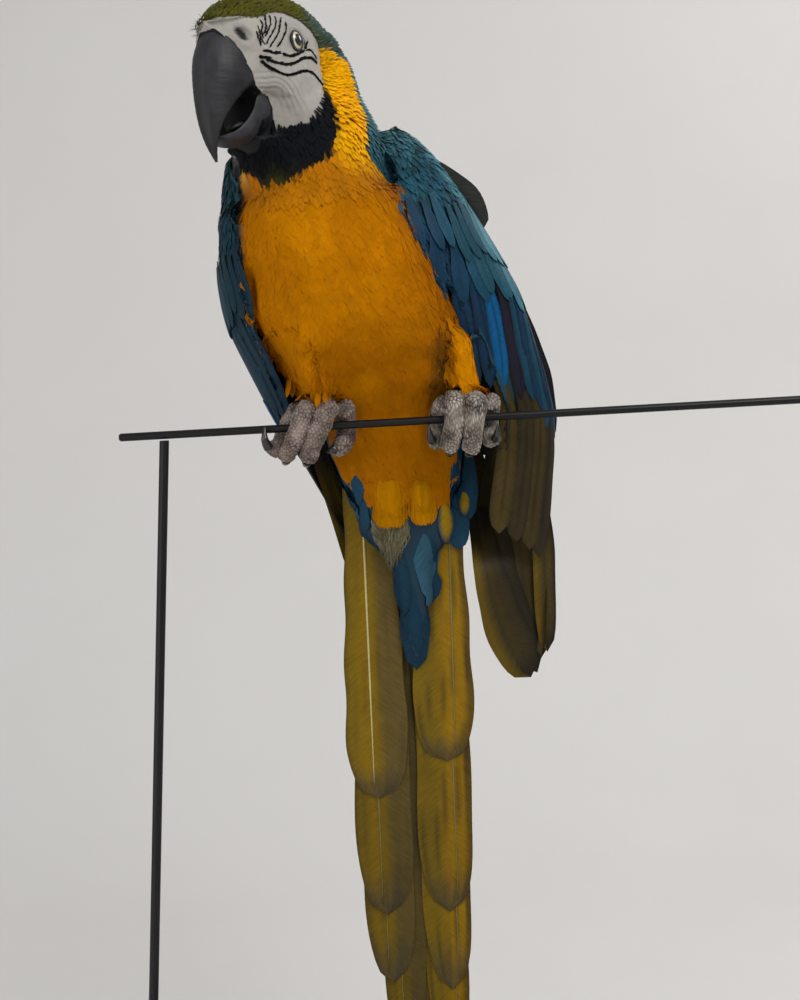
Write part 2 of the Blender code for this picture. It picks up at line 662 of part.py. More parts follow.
reset()
build_trunk()
build_neck()
build_head()
build_bill("bill_upper", BILL_UPPER, BILL_TIP, 0)
build_bill("bill_lower", BILL_LOWER, CHIN_TIP, 1)
build_wing("left", WING_LEFT, WING_LEFT_ENDS)
build_wing("right", WING_RIGHT, WING_RIGHT_ENDS)
build_tail()
build_vent()
for flank in ("left", "right"):
    build_thigh(flank)
    build_foot(flank)
build_toes()
build_stand()
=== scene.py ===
"""Looks of a perched blue-and-yellow macaw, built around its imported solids.

One skin lies inside the nodes of flesh, and a coat of mesh feathers grows from it. Millimetres below are in
the perch's frame (x across, y back, z up from the rod's axis) or in the head's own frame (f forward along the
bill, l to the bird's left, u up, from between the eyes).
"""

from math import cos, pi, radians, sin

import bmesh
import bpy
import numpy as np
from mathutils import Matrix, Vector
from mathutils.bvhtree import BVHTree
from mathutils.kdtree import KDTree


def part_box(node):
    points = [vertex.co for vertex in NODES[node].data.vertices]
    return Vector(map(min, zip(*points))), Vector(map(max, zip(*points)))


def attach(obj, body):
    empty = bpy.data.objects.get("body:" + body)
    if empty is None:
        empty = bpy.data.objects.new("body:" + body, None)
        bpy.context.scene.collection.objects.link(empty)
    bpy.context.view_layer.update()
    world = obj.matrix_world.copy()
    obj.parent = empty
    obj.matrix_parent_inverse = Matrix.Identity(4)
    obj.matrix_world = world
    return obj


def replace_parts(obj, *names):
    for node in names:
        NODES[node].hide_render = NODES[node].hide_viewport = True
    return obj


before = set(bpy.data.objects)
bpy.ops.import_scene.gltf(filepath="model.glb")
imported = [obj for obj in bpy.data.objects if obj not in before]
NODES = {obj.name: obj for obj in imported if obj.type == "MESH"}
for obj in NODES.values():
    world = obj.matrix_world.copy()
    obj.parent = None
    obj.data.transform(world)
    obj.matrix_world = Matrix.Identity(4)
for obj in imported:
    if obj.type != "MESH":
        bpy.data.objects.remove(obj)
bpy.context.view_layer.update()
rng = np.random.default_rng(7)

MM = 0.001
COAT = 2.6                        # how far the skin lies inside the solids, under the feathers
BARE = 0.5                        # the same on the bare face
PERCH_LEFT_END = 173.0            # from the perch's left end to the middle of the perch's frame
HEAD_PITCH = 3.5                  # degrees that the head looks down
HEAD_FROM = 140.0                 # the height above which forms are placed in the head's frame
PATCH = 0.003                     # side of a small feather's patch on its baking map
SIDES = {"left": 1.0, "right": -1.0}


# ---------------------------------------------------------------- small sums
def unit(v):
    v = np.asarray(v, float)
    return v / np.maximum(np.linalg.norm(v, axis=-1, keepdims=True), 1e-12)


def dot(a, b):
    return (a * b).sum(-1)


def ease(x, low, high):
    t = np.clip((np.asarray(x, float) - low) / (high - low), 0.0, 1.0)
    return t * t * (3.0 - 2.0 * t)


def mix(a, b, t):
    t = np.asarray(t, float)[..., None]
    return np.asarray(a, float) * (1.0 - t) + np.asarray(b, float) * t


def mix1(a, b, t):
    """One number blended with another."""
    return a * (1.0 - t) + b * t


def colour(red, green, blue):
    """An 8-bit screen colour as linear light."""
    c = np.array([red, green, blue], float) / 255.0
    return np.where(c <= 0.04045, c / 12.92, ((c + 0.055) / 1.055) ** 2.4)


def wobble(p, scale, seed=0):
    """Smooth noise from -1 to 1 at points in mm, with features about scale across."""
    q = np.asarray(p, float) / scale
    total = np.zeros(len(q))
    turns = np.random.default_rng(100 + seed)
    for _ in range(6):
        direction = unit(turns.normal(size=3)) * turns.uniform(0.7, 1.6)
        start = turns.uniform(0, 2 * pi)
        total += np.sin(q @ direction * 2.0 + start + 0.8 * np.sin(q @ turns.normal(size=3)))
    return total / 3.2


# ---------------------------------------------------------------- frames
def box_middle(node):
    low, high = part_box(node)
    return np.array((low + high) / 2)


perch_low, perch_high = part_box("perch")
PERCH = np.array([perch_low.x + PERCH_LEFT_END * MM, (perch_low.y + perch_high.y) / 2,
                  (perch_low.z + perch_high.z) / 2])
EYES = {side: box_middle("eye_" + side) for side in SIDES}
LEFT = unit(EYES["left"] - EYES["right"])
HEAD = (EYES["left"] + EYES["right"]) / 2
level = unit(np.cross(LEFT, (0.0, 0.0, 1.0)))
upright = np.cross(level, LEFT)
FWD = level * cos(radians(HEAD_PITCH)) - upright * sin(radians(HEAD_PITCH))
UP = upright * cos(radians(HEAD_PITCH)) + level * sin(radians(HEAD_PITCH))
AXES = np.stack([FWD, LEFT, UP])


def perch_mm(world):
    return (np.asarray(world, float) - PERCH) / MM


def from_perch(p):
    return PERCH + np.asarray(p, float) * MM


def head_mm(world):
    return (np.asarray(world, float) - HEAD) @ AXES.T / MM


def from_head(p):
    return HEAD + np.asarray(p, float) @ AXES * MM


# ---------------------------------------------------------------- meshes
def new_object(name, mesh, mat=None):
    obj = bpy.data.objects.new(name, mesh)
    bpy.context.scene.collection.objects.link(obj)
    if mat is not None:
        mesh.materials.clear()
        mesh.materials.append(mat)
    return obj


def round_shading(mesh):
    mesh.polygons.foreach_set("use_smooth", np.ones(len(mesh.polygons), bool))


def face_mesh(name, points, faces):
    """A smooth mesh from lists."""
    mesh = bpy.data.meshes.new(name)
    mesh.from_pydata([tuple(p) for p in points], [], faces)
    round_shading(mesh)
    return mesh


def grid_mesh(name, points, quads):
    """A smooth mesh from arrays, quickly."""
    mesh = bpy.data.meshes.new(name)
    mesh.vertices.add(len(points))
    mesh.vertices.foreach_set("co", np.ascontiguousarray(points, np.float32).ravel())
    quads = np.ascontiguousarray(quads, np.int32)
    mesh.loops.add(quads.size)
    mesh.loops.foreach_set("vertex_index", quads.ravel())
    mesh.polygons.add(len(quads))
    mesh.polygons.foreach_set("loop_start", np.arange(0, quads.size, quads.shape[1], dtype=np.int32))
    round_shading(mesh)
    mesh.update(calc_edges=True)
    return mesh


def coords(mesh):
    co = np.zeros(len(mesh.vertices) * 3, np.float32)
    mesh.vertices.foreach_get("co", co)
    return co.reshape(-1, 3).astype(float)


def normals(mesh):
    n = np.zeros(len(mesh.vertices) * 3, np.float32)
    mesh.vertex_normals.foreach_get("vector", n)
    return n.reshape(-1, 3).astype(float)


def set_coords(mesh, co):
    mesh.vertices.foreach_set("co", np.ascontiguousarray(co, np.float32).ravel())
    mesh.update()


def tint(mesh, values, name="Plumage"):
    """Stores linear colours on a mesh's points."""
    rgba = np.ones((len(mesh.vertices), 4), np.float32)
    rgba[:, :3] = values
    layer = mesh.color_attributes.new(name, "FLOAT_COLOR", "POINT")
    layer.data.foreach_set("color", rgba.ravel())


def number(mesh, values, name):
    layer = mesh.attributes.new(name, "FLOAT", "POINT")
    layer.data.foreach_set("value", np.ascontiguousarray(values, np.float32))


def uv_map(mesh, name, point_uv):
    loops = np.zeros(len(mesh.loops), np.int32)
    mesh.loops.foreach_get("vertex_index", loops)
    layer = mesh.uv_layers.new(name=name)
    layer.data.foreach_set("uv", np.ascontiguousarray(point_uv[loops], np.float32).ravel())


def evaluated(obj, name):
    """The object's mesh with its modifiers applied, and the object gone."""
    bpy.context.view_layer.update()
    mesh = bpy.data.meshes.new_from_object(obj.evaluated_get(bpy.context.evaluated_depsgraph_get()))
    mesh.name = name
    bpy.data.objects.remove(obj, do_unlink=True)
    return mesh


def fused(name, nodes, voxel, relax):
    """One closed, smooth mesh round some nodes, from voxels of a size in mm and relaxed a number of times."""
    bm = bmesh.new()
    for node in nodes:
        bm.from_mesh(NODES[node].data)
    bmesh.ops.remove_doubles(bm, verts=bm.verts, dist=1e-6)
    mesh = bpy.data.meshes.new(name)
    bm.to_mesh(mesh)
    bm.free()
    obj = new_object(name, mesh)
    remesh = obj.modifiers.new("remesh", "REMESH")
    remesh.mode, remesh.voxel_size, remesh.use_smooth_shade = "VOXEL", voxel * MM, True
    smooth = obj.modifiers.new("smooth", "SMOOTH")
    smooth.factor, smooth.iterations = 0.5, relax
    return evaluated(obj, name)


def surface(mesh):
    """A search tree over a mesh."""
    bm = bmesh.new()
    bm.from_mesh(mesh)
    tree = BVHTree.FromBMesh(bm)
    bm.free()
    return tree


def snap(tree, points):
    """The nearest points of a surface, their normals and distances."""
    n = len(points)
    where, facing, far = np.empty((n, 3)), np.empty((n, 3)), np.empty(n)
    for i, p in enumerate(points):
        place, normal, _, distance = tree.find_nearest(Vector(p))
        where[i], facing[i], far[i] = place, normal, distance
    return where, facing, far


def scatter(mesh, spacing, keep=None):
    """Points spread over a mesh, no two nearer than spacing mm, and the way the mesh faces there."""
    mesh.calc_loop_triangles()
    tri = np.zeros(len(mesh.loop_triangles) * 3, np.int32)
    mesh.loop_triangles.foreach_get("vertices", tri)
    corners = coords(mesh)[tri.reshape(-1, 3)]
    cross = np.cross(corners[:, 1] - corners[:, 0], corners[:, 2] - corners[:, 0])
    area = np.linalg.norm(cross, axis=1) / 2
    count = int(area.sum() / (spacing * MM) ** 2 * 5)
    pick = rng.choice(len(area), count, p=area / area.sum())
    a, b = rng.random(count), rng.random(count)
    flip = a + b > 1
    a[flip], b[flip] = 1 - a[flip], 1 - b[flip]
    t = corners[pick]
    points = t[:, 0] + a[:, None] * (t[:, 1] - t[:, 0]) + b[:, None] * (t[:, 2] - t[:, 0])
    facing = unit(cross[pick])
    if keep is not None:
        kept = keep(points)
        points, facing = points[kept], facing[kept]
    gap = spacing * MM
    taken, chosen = {}, []
    keys = np.floor(points / gap).astype(int)
    for i, (p, key) in enumerate(zip(points, keys)):
        near = [taken.get((key[0] + x, key[1] + y, key[2] + z), ())
                for x in (-1, 0, 1) for y in (-1, 0, 1) for z in (-1, 0, 1)]
        if all(sum((p[k] - q[k]) ** 2 for k in range(3)) > gap * gap for group in near for q in group):
            taken.setdefault(tuple(key), []).append(p)
            chosen.append(i)
    return points[chosen], facing[chosen]


# ---------------------------------------------------------------- materials
class Nodes:
    """A material's node tree, with short calls for what is used here."""

    def __init__(self, name, roughness=0.5, **sockets):
        self.mat = bpy.data.materials.new(name)
        self.mat.use_nodes = True
        self.tree = self.mat.node_tree
        self.shader = self.tree.nodes["Principled BSDF"]
        self.shader.inputs["Roughness"].default_value = roughness
        for socket, value in sockets.items():
            self.shader.inputs[socket.replace("_", " ")].default_value = value

    def add(self, kind, **settings):
        node = self.tree.nodes.new(kind)
        for key, value in settings.items():
            setattr(node, key, value)
        return node

    def link(self, a, b):
        self.tree.links.new(a, b)

    def place(self):
        return self.add("ShaderNodeTexCoord").outputs["Object"]

    def stretched(self, scale):
        node = self.add("ShaderNodeMapping")
        node.inputs["Scale"].default_value = scale
        self.link(self.place(), node.inputs["Vector"])
        return node.outputs["Vector"]

    def noise(self, scale, detail=4.0, rough=0.55, vector=None):
        node = self.add("ShaderNodeTexNoise")
        node.inputs["Scale"].default_value = scale
        node.inputs["Detail"].default_value = detail
        node.inputs["Roughness"].default_value = rough
        self.link(vector or self.place(), node.inputs["Vector"])
        return node.outputs["Fac"]

    def cells(self, scale, vector=None):
        node = self.add("ShaderNodeTexVoronoi", feature="DISTANCE_TO_EDGE")
        node.inputs["Scale"].default_value = scale
        self.link(vector or self.place(), node.inputs["Vector"])
        return node.outputs["Distance"]

    def attribute(self, name, output="Color"):
        return self.add("ShaderNodeAttribute", attribute_name=name).outputs[output]

    def range(self, source, a, b, c, d):
        node = self.add("ShaderNodeMapRange")
        for socket, value in zip(("From Min", "From Max", "To Min", "To Max"), (a, b, c, d)):
            node.inputs[socket].default_value = value
        self.link(source, node.inputs["Value"])
        return node.outputs["Result"]

    def math(self, how, a, b):
        node = self.add("ShaderNodeMath", operation=how)
        for socket, value in zip(node.inputs, (a, b)):
            if isinstance(value, (int, float)):
                socket.default_value = value
            else:
                self.link(value, socket)
        return node.outputs[0]

    def blend(self, how, fac, a, b):
        node = self.add("ShaderNodeMix", data_type="RGBA", blend_type=how)
        for socket, value in zip((node.inputs[0], node.inputs[6], node.inputs[7]), (fac, a, b)):
            if isinstance(value, (int, float)):
                socket.default_value = value
            elif isinstance(value, (tuple, list, np.ndarray)):
                socket.default_value = (*value, 1.0)
            else:
                self.link(value, socket)
        return node.outputs[2]

    def paint(self, source):
        self.link(source, self.shader.inputs["Base Color"])

    def rough(self, source):
        self.link(source, self.shader.inputs["Roughness"])

    def shaded_paint(self, name, shade):
        """The colour stored on a mesh, made lighter and darker by a number."""
        colours = self.add("ShaderNodeVectorMath", operation="SCALE")
        self.link(self.attribute(name), colours.inputs[0])
        self.link(shade, colours.inputs["Scale"])
        self.paint(colours.outputs[0])

    def bump(self, height, distance, strength=1.0):
        node = self.add("ShaderNodeBump")
        node.inputs["Strength"].default_value = strength
        node.inputs["Distance"].default_value = distance
        self.link(height, node.inputs["Height"])
        self.link(node.outputs["Normal"], self.shader.inputs["Normal"])


def feather_material(name, roughness, depth, sheen, contrast=0.3, barb=0.9, gloss=0.2):
    """The plumage's markings with barbs that run out from the shaft, barb of them to the mm."""
    m = Nodes(name, roughness, Sheen_Weight=sheen, Sheen_Roughness=0.4, Specular_IOR_Level=gloss)
    split = m.add("ShaderNodeSeparateXYZ")
    m.link(m.add("ShaderNodeUVMap", uv_map="Vane").outputs["UV"], split.inputs[0])
    across = m.math("ABSOLUTE", split.outputs["X"], 0.0)
    slant = m.math("SUBTRACT", split.outputs["Y"], m.math("MULTIPLY", across, 0.8))
    lines = m.add("ShaderNodeCombineXYZ")
    m.link(m.math("MULTIPLY", slant, barb), lines.inputs["X"])
    m.link(m.math("MULTIPLY", split.outputs["X"], 0.09), lines.inputs["Y"])
    streak = m.noise(1.0, 3.0, 0.6, lines.outputs[0])
    patches = m.noise(70.0, 3.0, 0.6)
    shade = m.range(streak, 0.3, 0.7, 1.0 - contrast, 1.0 + contrast * 0.5)
    shade = m.math("MULTIPLY", shade, m.range(patches, 0.3, 0.7, 0.9, 1.08))
    m.shaded_paint("Plumage", shade)
    m.bump(streak, depth)
    return m.mat


MATERIALS = {
    "silk": feather_material("breast_feathers", 0.85, 0.0002, 0.0, 0.12, 1.3, 0.04),
    "down": feather_material("soft_feathers", 0.8, 0.0003, 0.02, 0.18, 1.3, 0.08),
    "vane": feather_material("firm_feathers", 0.6, 0.0003, 0.0, 0.3, 1.0, 0.14),
    "quill": feather_material("flight_feathers", 0.52, 0.0003, 0.0, 0.24, 0.8, 0.16),
}


# ---------------------------------------------------------------- plumage
GOLD, GOLD_LOW = colour(190, 115, 0), colour(176, 106, 0)
# GOLD_SHADE is the gold darkened as painted shade, where the wings shade the body
GOLD_PALE, GOLD_SHADE = colour(208, 132, 0), colour(118, 56, 0)
DULL = colour(84, 60, 22)
YELLOW = colour(244, 174, 0)
CROWN, CROWN_BACK = colour(82, 80, 24), colour(62, 86, 84)
TEAL, TEAL_PALE, TEAL_DARK = colour(24, 74, 90), colour(78, 120, 126), colour(16, 38, 44)
# CYAN_HIGHLIGHT is the colour of a painted highlight down the left wing
CYAN_HIGHLIGHT, PURPLE = colour(84, 146, 160), colour(30, 26, 42)
BLUE, BLUE_DEEP, BLACK = colour(0, 92, 146), colour(12, 48, 78), colour(15, 15, 18)
STEEL, STEEL_PALE = colour(22, 62, 84), colour(44, 80, 98)
THROAT, THROAT_EDGE = colour(15, 17, 21), colour(50, 50, 18)
OLIVE, OLIVE_YELLOW, OLIVE_GREY = colour(76, 62, 22), colour(116, 92, 6), colour(92, 76, 34)
OLIVE_DARK, OLIVE_GOLD, FLUFF = colour(40, 34, 22), colour(144, 108, 0), colour(116, 114, 96)
FACE = colour(170, 165, 156)

# the axis that the markings go round: heights, and x and y there
SPINE_Z = (-40.0, 0.0, 45.0, 105.0, 160.0, 190.0, 215.0)
SPINE_X = (2.0, -3.0, -14.0, -33.0, -46.0, -54.0, -61.0)
SPINE_Y = (43.0, 37.0, 13.0, -1.0, -17.0, -28.0, -40.0)

# where gold meets the blue of the back: height, and degrees from the front on the bird's left and right
BACK_LINE = ((-40.0, 78.0, -78.0), (100.0, 94.0, -94.0), (120.0, 90.0, -98.0), (140.0, 82.0, -105.0),
             (157.0, 66.0, -115.0))
# where the black throat ends low down: height, and degrees from the front on either side
THROAT_LINE = ((137.0, -30.0, -33.0), (140.0, -16.0, -43.0), (143.0, -6.0, -46.0), (147.0, 2.0, -47.0),
               (150.0, 12.0, -48.0), (155.0, 22.0, -52.0), (161.0, 26.0, -60.0))
# on the neck's side, in the head's frame: u, then the f where black turns yellow and where yellow turns blue
SIDE_LINE = ((-84.0, -4.0, -34.0), (-70.8, -8.0, -34.5), (-59.0, -10.5, -33.5), (-52.0, -14.0, -33.0),
             (-44.0, -17.0, -36.0), (-37.0, -17.5, -39.0), (-27.0, -16.5, -40.0), (-15.0, -15.0, -40.0),
             (-5.0, -16.0, -38.0), (3.0, -19.0, -34.0))
NAPE = 12.5                       # half width of the blue strip down the back of the neck
# the bare face in the head's frame, from the culmen back over the eye and down to the jaw
FACE_LINE = ((52.0, 10.2), (45.0, 10.2), (38.0, 9.6), (30.0, 9.8), (22.0, 14.0), (14.0, 16.6), (5.0, 16.8),
             (-5.0, 14.2), (-13.0, 9.4), (-16.8, 3.0), (-15.6, -7.5), (-14.6, -20.0), (-11.4, -32.0),
             (-6.8, -40.0), (0.0, -45.8), (8.0, -48.2), (13.5, -48.6), (20.0, -47.0), (30.0, -46.0),
             (52.0, -46.0))
RAGGED = 2.0                      # how far the markings' edges wander


def azimuth(p):
    """Degrees round the body's axis from its front, positive to the bird's left."""
    x = p[:, 0] - np.interp(p[:, 2], SPINE_Z, SPINE_X)
    y = p[:, 1] - np.interp(p[:, 2], SPINE_Z, SPINE_Y)
    return np.degrees(np.arctan2(x, -y))


def inside(line, x, y):
    """Which points are inside a closed outline."""
    found = np.zeros(len(x), bool)
    for (x0, y0), (x1, y1) in zip(line, line[1:] + line[:1]):
        crosses = (y0 > y) != (y1 > y)
        at = x0 + (y - y0) * (x1 - x0) / (y1 - y0 if y1 != y0 else 1e-9)
        found ^= crosses & (x < at)
    return found


def face_depth(h):
    """How far points in the head's frame are inside the bare face's outline, in mm. Negative outside."""
    f, u = h[:, 0], h[:, 2]
    far = np.full(len(h), 1e9)
    for (x0, y0), (x1, y1) in zip(FACE_LINE[:-1], FACE_LINE[1:]):
        dx, dy = x1 - x0, y1 - y0
        t = np.clip(((f - x0) * dx + (u - y0) * dy) / (dx * dx + dy * dy), 0, 1)
        far = np.minimum(far, np.hypot(f - x0 - t * dx, u - y0 - t * dy))
    return np.where(inside(FACE_LINE, f, u), far, -far)


def band(line, z, column):
    """A column of a table whose first numbers rise."""
    return np.interp(z, [row[0] for row in line], [row[column] for row in line])


def fold(p):
    """1 in the fold between the right wing's front edge and the neck, where the wing's dark inside shows and
    where painted shade is put.
    """
    return (ease(-p[:, 0], 85.0, 89.0) * ease(p[:, 2], 96.0, 104.0) * ease(p[:, 2], 178.0, 171.0)
            * ease(p[:, 1], 25.0, 15.0))


def gold_colour(p, a):
    """The gold of the underparts: browner at the sides by the wings as painted shade, darker high on the breast
    and, as painted shade, low by the rod, pale in patches, with a dull streak by a thigh and painted light on
    the left thigh.
    """
    z = p[:, 2]
    gold = mix(GOLD, GOLD_LOW, ease(z, 110.0, 20.0))
    # painted shade: browner gold at the sides, next to the wings
    gold = mix(gold, GOLD_SHADE, 0.6 * ease(np.abs(a + 12.0), 44.0, 84.0) * ease(z, 10.0, 60.0))
    patches = wobble(p * (1.0, 1.0, 0.5), 17.0, 2) - np.abs(a + 5.0) / 60.0
    gold = mix(gold, GOLD_PALE, 0.55 * ease(patches, -0.7, 0.6))
    gold = gold * (1.0 + 0.07 * wobble(p * (1.0, 1.0, 0.22), 3.2, 12))[:, None]
    # darker high on the breast, and painted shade low by the rod
    gold = gold * (0.93 - 0.09 * ease(z, 100.0, 136.0) - 0.12 * ease(z, 8.0, -12.0))[:, None]
    gold = mix(gold, YELLOW, ease(z, 138.0, 162.0) * ease(np.abs(a + 20.0), 36.0, 56.0))
    streak = np.abs(p[:, 0] - 29.0 - 0.10 * (z - 30.0))
    dull = ease(streak, 9.0, 2.0) * ease(z, -4.0, 10.0) * ease(z, 58.0, 40.0)
    gold = mix(gold, DULL, dull * (0.6 + 0.4 * wobble(p * (1.0, 1.0, 0.2), 2.6, 13)))
    # painted light: the left thigh is paler where the light falls on it
    thigh = 0.8 * ease(p[:, 0], 36.0, 42.0) * ease(z, 56.0, 46.0) * ease(z, 6.0, 16.0)
    return mix(gold, GOLD_PALE * 1.12, thigh)


def crown_colour(h, rough):
    """The crown, green in front and teal towards the nape, at points in the head's frame."""
    f, u = h[:, 0], h[:, 2]
    crown = mix(CROWN, CROWN_BACK, ease(-f + rough * 1.5, 4.0, 26.0))
    crown = mix(crown, TEAL_PALE, 0.6 * ease(-f - u * 0.3, 24.0, 46.0))
    return mix(crown, CROWN * 0.55, 0.45 * ease(wobble(h * (0.3, 1.0, 1.0), 5.0, 3), 0.0, 1.0))


def body_colour(p):
    """Markings of head, neck, trunk and thighs at points in the perch's frame."""
    z, a = p[:, 2], azimuth(p)
    rough = wobble(p, 6.0, 1) * RAGGED
    h = head_mm(from_perch(p))
    f, u = h[:, 0], h[:, 2]
    high = ease(z, 146.0, 158.0)
    back_low = np.maximum(a - band(BACK_LINE, z, 1), band(BACK_LINE, z, 2) - a)
    back_high = np.maximum(band(SIDE_LINE, u, 2) - f, np.where(f < 0.0, NAPE - np.abs(h[:, 1]), -9.0))
    back = ease(mix1(back_low, back_high, high) + rough, -1.5, 1.5)
    back = np.maximum(back, ease(p[:, 1], 24.0, 32.0) * ease(z, -14.0, 10.0) * (1.0 - high))
    blue = mix(TEAL, TEAL_PALE, 0.7 * ease(z, 130.0, 190.0))
    blue = mix(blue, BLUE_DEEP, 0.6 * ease(z, 70.0, -10.0))
    # in the fold the skin is painted dark teal: the wing's dark inside and painted shade
    out = mix(mix(gold_colour(p, a), blue, back), TEAL_DARK * 0.9, fold(p))
    throat_low = np.minimum(band(THROAT_LINE, z, 1) - a, a - band(THROAT_LINE, z, 2))
    black = ease(mix1(throat_low, f - band(SIDE_LINE, u, 1), high) + rough, -1.5, 1.5)
    black = black * ease(z + rough * 1.4, 136.0, 139.0) * ease(u + rough, -24.0, -30.0)
    edge = black * ease(z + rough * 1.6, 149.0, 138.0)
    out = mix(out, mix(THROAT, THROAT_EDGE, edge), black)
    line = np.where(f < -16.0, -0.5 + 0.28 * (f + 16.0), -3.0)
    return mix(out, crown_colour(h, rough), ease(u - line + rough * 0.6, -1.0, 1.0))


def wing_shade(s, z, side):
    """A wing's outer colour on its sheet: teal, pale at the shoulder, deep blue along its front, with a painted
    highlight in cyan down the left wing and painted shade over the right wing's front.
    """
    s, z = np.asarray(s, float), np.asarray(z, float)
    shade = mix(TEAL, TEAL_PALE, 0.8 * ease(z, 148.0, 184.0))
    shade = mix(shade, BLUE_DEEP, 0.8 * ease(s, 0.18, 0.03) * ease(z, 140.0, 104.0))
    if side == "left":
        # painted highlight: a cyan stripe where the left wing's outer curve catches the light
        return mix(shade, CYAN_HIGHLIGHT, 0.75 * ease(np.abs(s - 0.37), 0.11, 0.02) * ease(z, 60.0, 120.0))
    # painted shade: the right wing's front darkened towards teal-black
    return mix(shade, TEAL_DARK, 0.6 * ease(s, 0.7, 0.2))


def lining_colour(p, side):
    """The inside of a wing's small feathers, darkened as painted shade, and on the right wing gold along its
    lower front edge, with painted shadow in dark gold behind it, and teal towards its rear and its top."""
    z = p[:, 2]
    if side == "left":
        # painted shade: the left wing's inside, facing the body, is dark teal turning olive low down
        return mix(TEAL_DARK * 0.6, OLIVE_DARK, ease(z, 60.0, -10.0))
    edge = ease(p[:, 1], 4.0, -14.0) * ease(z, 8.0, 30.0) * ease(z, 100.0, 84.0)
    # painted shade on the right wing's inside, with a painted shadow of dark gold behind its gold front edge
    inner = mix(mix(GOLD_SHADE * 0.4, OLIVE_DARK, ease(z, 60.0, -10.0)), TEAL_DARK,
                np.maximum(ease(p[:, 1], 8.0, 24.0), ease(z, 84.0, 104.0)))
    return mix(inner, GOLD * 0.85, edge)


# ---------------------------------------------------------------- skin
FLESH = ("trunk", "neck", "head", "thigh_left", "thigh_right", "wing_left", "wing_right", "undertail")
SKIN_VOXEL, FOOT_VOXEL, CLAW_VOXEL = 1.7, 0.6, 0.35
EYE_MOVE = (2.4, 1.0)             # the visible eye's place (f, u) in its socket
EYE_OPENING = 5.3
NOSTRIL = (37.4, 0.4)
EYE_SIDE = 26.3                   # how far the skin round an eye is from the head's middle
MOUTH_CORNER = (24.0, -42.0)      # f, u
# the cheek's creases round the corner of the mouth: radius and depth
FOLDS = ((12.2, 0.7), (14.4, 1.0), (16.6, 0.8), (19.4, 0.9), (22.6, 0.5))
# the chin's underside: f, u
CHIN = ((6.0, -84.0), (10.0, -74.0), (16.0, -66.0), (24.0, -58.0), (28.0, -54.0), (31.0, -51.0))
# the bill's rear edge against the face: u, f and half width
BILL_EDGE = ((7.0, 49.0, 1.0), (4.2, 48.0, 5.0), (0.2, 46.4, 9.3), (-6.2, 43.0, 13.0), (-12.4, 38.8, 15.5),
             (-17.0, 35.4, 17.0), (-20.6, 33.0, 17.5), (-27.0, 31.4, 17.5), (-29.6, 27.5, 17.4),
             (-32.0, 21.4, 17.3), (-38.0, 18.2, 17.2), (-44.0, 17.2, 16.0), (-48.5, 16.8, 14.0),
             (-51.0, 18.0, 12.0), (-55.5, 25.0, 7.5), (-58.6, 36.0, 3.0))
HEAD_CUT = ((7.0, 44.5), (-27.0, 27.5), (-34.0, 27.0), (-60.0, 30.0))      # where the solid head stops: u, f


def nearest_flesh(points):
    """The index in FLESH of the node that each point is nearest to."""
    return np.stack([snap(surface(NODES[name].data), points)[2] for name in FLESH]).argmin(0)


def wing_outer(normal, side):
    """Whether a wing's surface faces away from the body there."""
    outward = np.array([SIDES[side] * 0.93, -0.37 if side == "left" else 0.05, 0.1])
    return (dot(normal, outward) > -0.1) | (normal[:, 1] > 0.3)


def along(line, u, column):
    """A column of a table whose first numbers fall."""
    return np.interp(-u, [-row[0] for row in line], [row[column] for row in line])


def nostril_at(h):
    """1 at a nostril's rim, less inside."""
    f, u = h[:, 0] - NOSTRIL[0], h[:, 2] - NOSTRIL[1]
    r = np.hypot((f - 0.35 * u) / 2.0, u / 3.6)
    return np.where((np.abs(h[:, 1]) > 8.0) & (h[:, 0] > 30.0), r, 99.0)


def mouth_folds(h):
    """0 to 1 in the fine creases of the cheek, which run round the corner of the mouth and down behind it."""
    r = np.hypot(h[:, 0] - MOUTH_CORNER[0], h[:, 2] - MOUTH_CORNER[1]) + 0.5 * wobble(h, 5.0, 15)
    turn = np.degrees(np.arctan2(h[:, 2] - MOUTH_CORNER[1], MOUTH_CORNER[0] - h[:, 0]))
    reach = ease(turn, -6.0, 22.0) * ease(turn, 128.0, 100.0)
    return reach * sum(depth * np.exp(-((r - at) / 0.5) ** 2) for at, depth in FOLDS)


